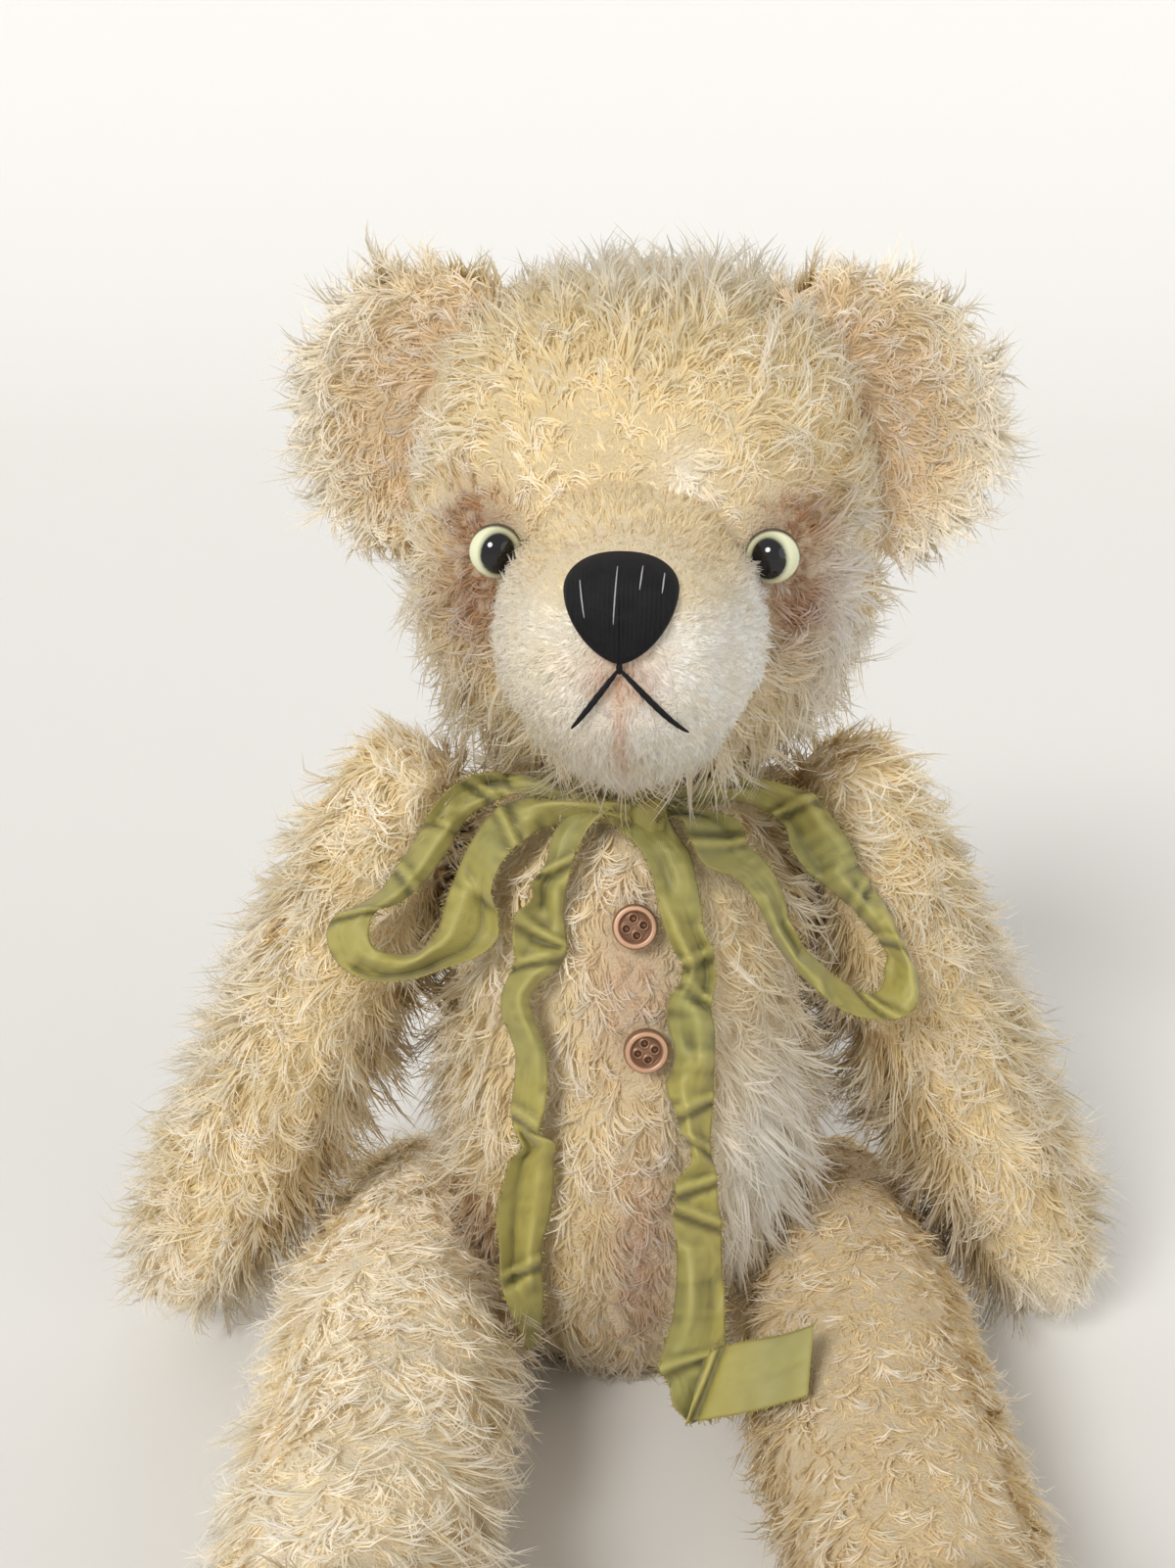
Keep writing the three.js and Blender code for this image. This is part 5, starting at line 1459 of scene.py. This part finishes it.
def button_shape(rows=44, sides=84):
    """A disc seen from above as rings: a rounded rim, a dish inside it, and four dimples each with a raised
    ring; then down the outer wall to the flat back."""
    radius, thick, rim, dish = (BUTTON[k] for k in ("radius", "thick", "rim", "dish"))
    turn = around(sides)
    r = np.linspace(0, radius, rows)[:, None]
    top = thick - dish + 0.35 * (1 - r / radius) + dish * ramp(r, radius - rim - 0.5, radius - rim + 0.35)
    top -= 0.75 * ramp(r, radius - 0.55, radius) ** 2
    x, y = r * np.cos(turn), r * np.sin(turn)
    top = top + 0 * turn
    hollow = np.zeros_like(top)
    for k in range(4):
        a = k * math.pi / 2 + BUTTON["turn"]
        d = np.hypot(x - BUTTON["holes"] * math.cos(a), y - BUTTON["holes"] * math.sin(a))
        hole = 1 - ramp(d, 0.5, 0.85)
        top += 0.32 * np.exp(-(((d - 1.05) / 0.24) ** 2)) - 0.75 * hole
        hollow = np.maximum(hollow, hole)
    face = np.stack([x, y, top], axis=-1)
    down = np.linspace(thick - 0.8, 0, 6)[:, None] + 0 * turn
    wall = np.stack([radius * np.cos(turn) + 0 * down, radius * np.sin(turn) + 0 * down, down], axis=-1)
    back = wall[-1:] * np.array([0.05, 0.05, 1])
    worn = np.clip((top - thick + dish * 0.9) / dish, 0, 1) * (1 - hollow)
    rub = np.concatenate([worn, np.full((7, sides), 0.35)])
    return np.concatenate([face, wall, back]), rub


def button_place(x, z):
    """The turn and the seat of a button on the front of the trunk, square to the cloth there."""
    at_x = x + BUTTON_REACH * np.array([0, 1, -1, 0, 0])
    at_z = z + BUTTON_REACH * np.array([0, 0, 0, 1, -1])
    y = front_of(FORMS["trunk"], at_x, at_z)
    across, up = (y[1] - y[2]) / (2 * BUTTON_REACH), (y[3] - y[4]) / (2 * BUTTON_REACH)
    look = unit(np.array([across, -1.0, up]))
    aside = unit(np.cross(look, np.array([0, 0, 1.0])))
    turn = np.stack([aside, np.cross(look, aside), look], axis=1)
    return Place(turn, np.array([x, y[0], z]) + look * BUTTON_PROUD)


# Light


def studio_sky(scene):
    """Even light from all round, and a plain pale ground behind everything that the camera sees."""
    sky = bpy.data.worlds.new("studio")
    sky.use_nodes = True
    tree = sky.node_tree
    tree.nodes.clear()
    shade = Socket(tree)
    kinds = ("Is Camera Ray", "Is Glossy Ray", "Is Transmission Ray")
    rays = [shade.node("ShaderNodeLightPath", out=kind) for kind in kinds]
    seen = shade.math("MAXIMUM", shade.math("MAXIMUM", rays[0], rays[1]), rays[2])
    grounds = []
    for strength in (SKY_LIGHT, SKY_SHOWN):
        sockets = {"Color": (1, 1, 1, 1), "Strength": strength}
        grounds.append(shade.node("ShaderNodeBackground", sockets=sockets))
    mixed = shade.node("ShaderNodeMixShader", sockets={0: seen, 1: grounds[0], 2: grounds[1]})
    shade.node("ShaderNodeOutputWorld", sockets={"Surface": mixed})
    scene.world = sky


# Operators


class BEAR_OT_finishes(bpy.types.Operator):
    """Make every material"""

    bl_idname = "bear.finishes"
    bl_label = "Materials"

    def execute(self, context):
        recipes = {
            "backing_cloth": cloth_finish, "stitched_floss": floss_finish, "crinkled_ribbon": ribbon_finish,
            "old_copper": copper_finish, "painted_glass": eye_finish, "worn_felt": felt_finish,
            "fibre_board": board_finish, "dull_steel": steel_finish, "studio_floor": floor_finish,
        }
        finish("curly_mohair", mohair_finish, lit_through=True)
        for name, recipe in recipes.items():
            finish(name, recipe)
        return {"FINISHED"}


class BEAR_OT_skins(bpy.types.Operator):
    """Build the cloth skins of the stuffed pieces"""

    bl_idname = "bear.skins"
    bl_label = "Skins"

    def execute(self, context):
        made = skins()
        cloth = bpy.data.materials["backing_cloth"]
        plan = {"head": ("head", ["cranium", "muzzle"]), "torso": ("torso", ["trunk"])}
        for side in SIDE_NAME.values():
            plan[f"{side}_ear"] = ("head", [f"{side}_ear"])
            plan[f"{side}_arm"] = (f"{side}_arm", [f"{side}_arm"])
            plan[f"{side}_leg"] = (f"{side}_leg", [f"{side}_leg", f"{side}_foot"])
        for node, (body, names) in plan.items():
            starts = np.cumsum([0] + [len(made[n].points) for n in names])
            points = np.concatenate([made[n].points for n in names])
            quads = np.concatenate([made[n].quads + start for n, start in zip(names, starts)])
            coats = [coat_of(n, made[n].points, made[n].normals) for n in names]
            paint = np.concatenate([blend(np.full(len(c.points), 0.3), c.middle, c.base) for c in coats])
            piece = mesh_object(f"{node}_cloth", points, quads, cloth, body, coat=0.9 * paint)
            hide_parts(node)
        return {"FINISHED"}


class BEAR_OT_fur(bpy.types.Operator):
    """Grow the mohair on every stuffed piece"""

    bl_idname = "bear.fur"
    bl_label = "Mohair"

    def execute(self, context):
        made = skins()
        thin = 1.0
        rng = np.random.default_rng(FUR_SEED)
        for skin, (short, long) in FUR.items():
            body = BODY_OF.get(skin.split("_")[-1], skin.replace("foot", "leg"))
            for layer, count in (("plush", short), ("locks", long)):
                if not count:
                    continue
                coat = coat_of(skin, *made[skin].scatter(rng, int(count * thin)))
                if skin == "muzzle":
                    grow("muzzle_fur", coat, body, rng, VELVET)
                elif layer == "plush":
                    grow(f"{skin}_plush", undercoat(coat), body, rng, PLUSH)
                else:
                    grow(f"{skin}_locks", overcoat(coat), body, rng, LOCKS)
        coat = coat_of("cranium", *made["cranium"].scatter(rng, int(TUFT_TRIES * thin)))
        coat.keep *= patch(HEAD.back(coat.points), "tuft_core") > 0.3
        coat.lean[:] = TUFT_LEAN
        grow("brow_tuft", overcoat(coat), "head", rng, LOCKS)
        return {"FINISHED"}


class BEAR_OT_face(bpy.types.Operator):
    """Build the eyes, nose and mouth"""

    bl_idname = "bear.face"
    bl_label = "Face"

    def execute(self, context):
        self.eyes(bpy.data.materials["painted_glass"])
        floss = bpy.data.materials["stitched_floss"]
        self.nose(floss)
        self.mouth(floss)
        return {"FINISHED"}

    def eyes(self, glass):
        """A painted glass eye at each eye's centre."""
        for sign, centre in eye_centres().items():
            grid, paint = eye_shape(centre, sign)
            points, quads = joined(HEAD.out(grid.reshape(-1, 3)).reshape(grid.shape))
            name = f"{SIDE_NAME[sign]}_eye"
            piece = mesh_object(f"{name}_glass", points, quads[:, ::-1], glass, "head",
                                coat=paint.reshape(-1, 3))
            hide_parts(name)

    def nose(self, floss):
        """The black pad of floss with the pale threads on it."""
        pad = nose_grid()
        pale = [stitch_grid(a, b, PALE_THREAD, PALE_LIFT) for a, b in nose_threads()]
        points, quads = joined(pad[:, ::-1], *pale)
        black = pad.shape[0] * pad.shape[1]
        paint = np.tile(tint("muzzle") * 0.45, (len(points), 1))
        paint[:black] = tint("floss")
        piece = mesh_object("nose_stitches", HEAD.out(points), quads, floss, "head",
                            coat=paint)
        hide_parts("nose")

    def mouth(self, floss):
        """One stitch of black floss along each of the mouth's lines."""
        points, quads = joined(*(stitch_grid(a, b, MOUTH_THREAD) for a, b in mouth_lines()))
        piece = mesh_object("mouth_stitches", HEAD.out(points), quads, floss, "head",
                            coat=np.tile(tint("floss"), (len(points), 1)))
        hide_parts("mouth")


class BEAR_OT_ribbon(bpy.types.Operator):
    """Lay the ribbon bow"""

    bl_idname = "bear.ribbon"
    bl_label = "Ribbon"

    def execute(self, context):
        material = bpy.data.materials["crinkled_ribbon"]
        tree = node_tree("torso", "left_arm", "right_arm", "left_leg", "right_leg")
        for layer, name in enumerate(BOW):
            piece = strip_piece(tree, name, 1 + layer % 2, material)
            if "loop" in name:
                side = name.split("_")[0]
                sign = 1 if side == "left" else -1
                sign * 0.016
                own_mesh(piece)
            if name == "tail_end":
                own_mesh(piece)
        points, ripple = collar_grid()
        knot = knot_grid()
        # Painted shade: the collar darker where its ripple dips. The knot is a little darker all over.
        paint = np.concatenate([
            blend(ripple.reshape(-1), tint("ribbon_stain_and_shade"), tint("ribbon")),
            blend(np.full(knot.shape[0] * knot.shape[1], 0.8), tint("ribbon_stain_and_shade"), tint("ribbon"))])
        ring, quads = joined(points, knot)
        piece = mesh_object("ribbon_collar", ring, quads[:, ::-1], material, "torso",
                            uv=np.zeros((len(ring), 2)) + 0.9, coat=paint)
        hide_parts("neck_ribbon")
        return {"FINISHED"}


class BEAR_OT_buttons(bpy.types.Operator):
    """Build the copper buttons"""

    bl_idname = "bear.buttons"
    bl_label = "Buttons"

    def execute(self, context):
        copper = bpy.data.materials["old_copper"]
        for name, (x, z) in BUTTONS.items():
            grid, rub = button_shape()
            points, quads = joined(grid)
            paint = blend(rub.reshape(-1), tint("tarnish"), tint("copper"))
            points = button_place(x, z).out(points)
            piece = mesh_object(f"{name}_copper", points, quads, copper, "torso", coat=paint)
            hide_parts(name)
        return {"FINISHED"}


class BEAR_OT_pads(bpy.types.Operator):
    """Build the felt foot pads"""

    bl_idname = "bear.pads"
    bl_label = "Foot pads"

    def execute(self, context):
        felt = bpy.data.materials["worn_felt"]
        share, turn = np.linspace(0, 1, 30)[:, None], around(96)
        crown = PAD_CROWN * np.sqrt(np.clip(1 - share**4, 0, 1))
        for side in SIDE_NAME.values():
            low, high = (np.array(c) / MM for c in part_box(f"{side}_foot_pad"))
            middle, half = (low + high) / 2, (high - low) / 2
            x = middle[0] + half[0] * share * np.cos(turn)
            z = middle[2] + half[2] * share * np.sin(turn)
            grid = np.stack([x, high[1] - crown + 0 * turn, np.maximum(z, SKIN_FLOOR)], axis=-1)
            points, quads = joined(grid)
            piece = mesh_object(f"{side}_foot_felt", points, quads[:, ::-1], felt, f"{side}_leg")
            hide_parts(f"{side}_foot_pad")
        return {"FINISHED"}


class BEAR_OT_joints(bpy.types.Operator):
    """Finish the hidden pieces of the disc joints"""

    bl_idname = "bear.joints"
    bl_label = "Joint discs"

    def execute(self, context):
        for name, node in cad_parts.items():
            kind = name.split("_")[-1]
            if kind not in ("disc", "washer", "pin"):
                continue
            node.data.materials.clear()
            node.data.materials.append(bpy.data.materials["fibre_board" if kind == "disc" else "dull_steel"])
        return {"FINISHED"}


class BEAR_OT_stage(bpy.types.Operator):
    """Set the floor, the lights and the camera"""

    bl_idname = "bear.stage"
    bl_label = "Stage"

    def execute(self, context):
        scene = context.scene
        scene.view_settings.view_transform = "Standard"
        self.sweep(scene)
        for name, (place, strength, spread) in SUNS.items():
            self.sun(name, place, strength, spread)
        studio_sky(scene)
        self.camera(scene)
        return {"FINISHED"}

    def sweep(self, scene):
        """A floor that bends up behind the bear into a wall."""
        bend = np.linspace(0, math.pi / 2, 24)
        y = np.concatenate([[-STAGE_REACH], STAGE_FLAT + STAGE_BEND * np.sin(bend), [STAGE_WALL]])
        z = np.concatenate([[0.0], STAGE_BEND * (1 - np.cos(bend)), [STAGE_REACH]])
        sides = (-STAGE_REACH, STAGE_REACH)
        rows = np.stack([np.stack([np.full(len(y), x), y, z], axis=1) for x in sides], axis=1)
        mesh = bpy.data.meshes.new("floor")
        mesh.from_pydata(rows.reshape(-1, 3).tolist(), [], grid_faces(len(y), 2, False).tolist())
        mesh.shade_smooth()
        mesh.materials.append(bpy.data.materials["studio_floor"])
        floor = bpy.data.objects.new("floor", mesh)
        scene.collection.objects.link(floor)

    def sun(self, name, place, strength, spread):
        """A sun lamp at a place, aimed at the bear."""
        lamp = bpy.data.lights.new(name, "SUN")
        lamp.energy = strength
        lamp.angle = math.radians(spread)
        holder = bpy.data.objects.new(name, lamp)
        holder.location = place
        aim = Vector(LIGHT_AIM) - Vector(place)
        holder.rotation_euler = aim.to_track_quat("-Z", "Y").to_euler()
        bpy.context.scene.collection.objects.link(holder)

    def camera(self, scene):
        """The camera at the photograph's place, looking down by its dip."""
        eye = bpy.data.cameras.new("camera")
        eye.sensor_fit = "HORIZONTAL"
        eye.sensor_width = CAMERA_SENSOR
        eye.lens = CAMERA_SENSOR * CAMERA_FOCUS / PHOTO_WIDTH
        eye.clip_start = 0.01
        holder = bpy.data.objects.new("camera", eye)
        holder.location = CAMERA_PLACE
        holder.rotation_euler = (math.radians(90 - CAMERA_DIP), 0, 0)
        scene.collection.objects.link(holder)
        scene.camera = holder


# Panel and registration


class BEAR_PT_panel(bpy.types.Panel):
    """The bear's pieces in the order they are built"""

    bl_label = "Teddy bear"
    bl_idname = "BEAR_PT_panel"
    bl_space_type = "VIEW_3D"
    bl_region_type = "UI"
    bl_category = "Bear"

    def draw(self, context):
        for operator in OPERATORS:
            self.layout.operator(operator.bl_idname)
        for group in (context.scene.bear_sizes, context.scene.bear_colours):
            box = self.layout.box()
            for name in group.__annotations__:
                box.prop(group, name)


OPERATORS = (
    BEAR_OT_finishes, BEAR_OT_stage, BEAR_OT_skins, BEAR_OT_face, BEAR_OT_buttons, BEAR_OT_pads,
    BEAR_OT_ribbon, BEAR_OT_joints, BEAR_OT_fur,
)
CLASSES = (BearSizes, BearColours, *OPERATORS, BEAR_PT_panel)


def register():
    for each in CLASSES:
        bpy.utils.register_class(each)
    bpy.types.Scene.bear_sizes = bpy.props.PointerProperty(type=BearSizes)
    bpy.types.Scene.bear_colours = bpy.props.PointerProperty(type=BearColours)


def unregister():
    del bpy.types.Scene.bear_colours
    del bpy.types.Scene.bear_sizes
    for each in reversed(CLASSES):
        bpy.utils.unregister_class(each)


def main():
    register()
    for operator in OPERATORS:
        group, name = operator.bl_idname.split(".")
        getattr(getattr(bpy.ops, group), name)()


if __name__ == "__main__":
    main()
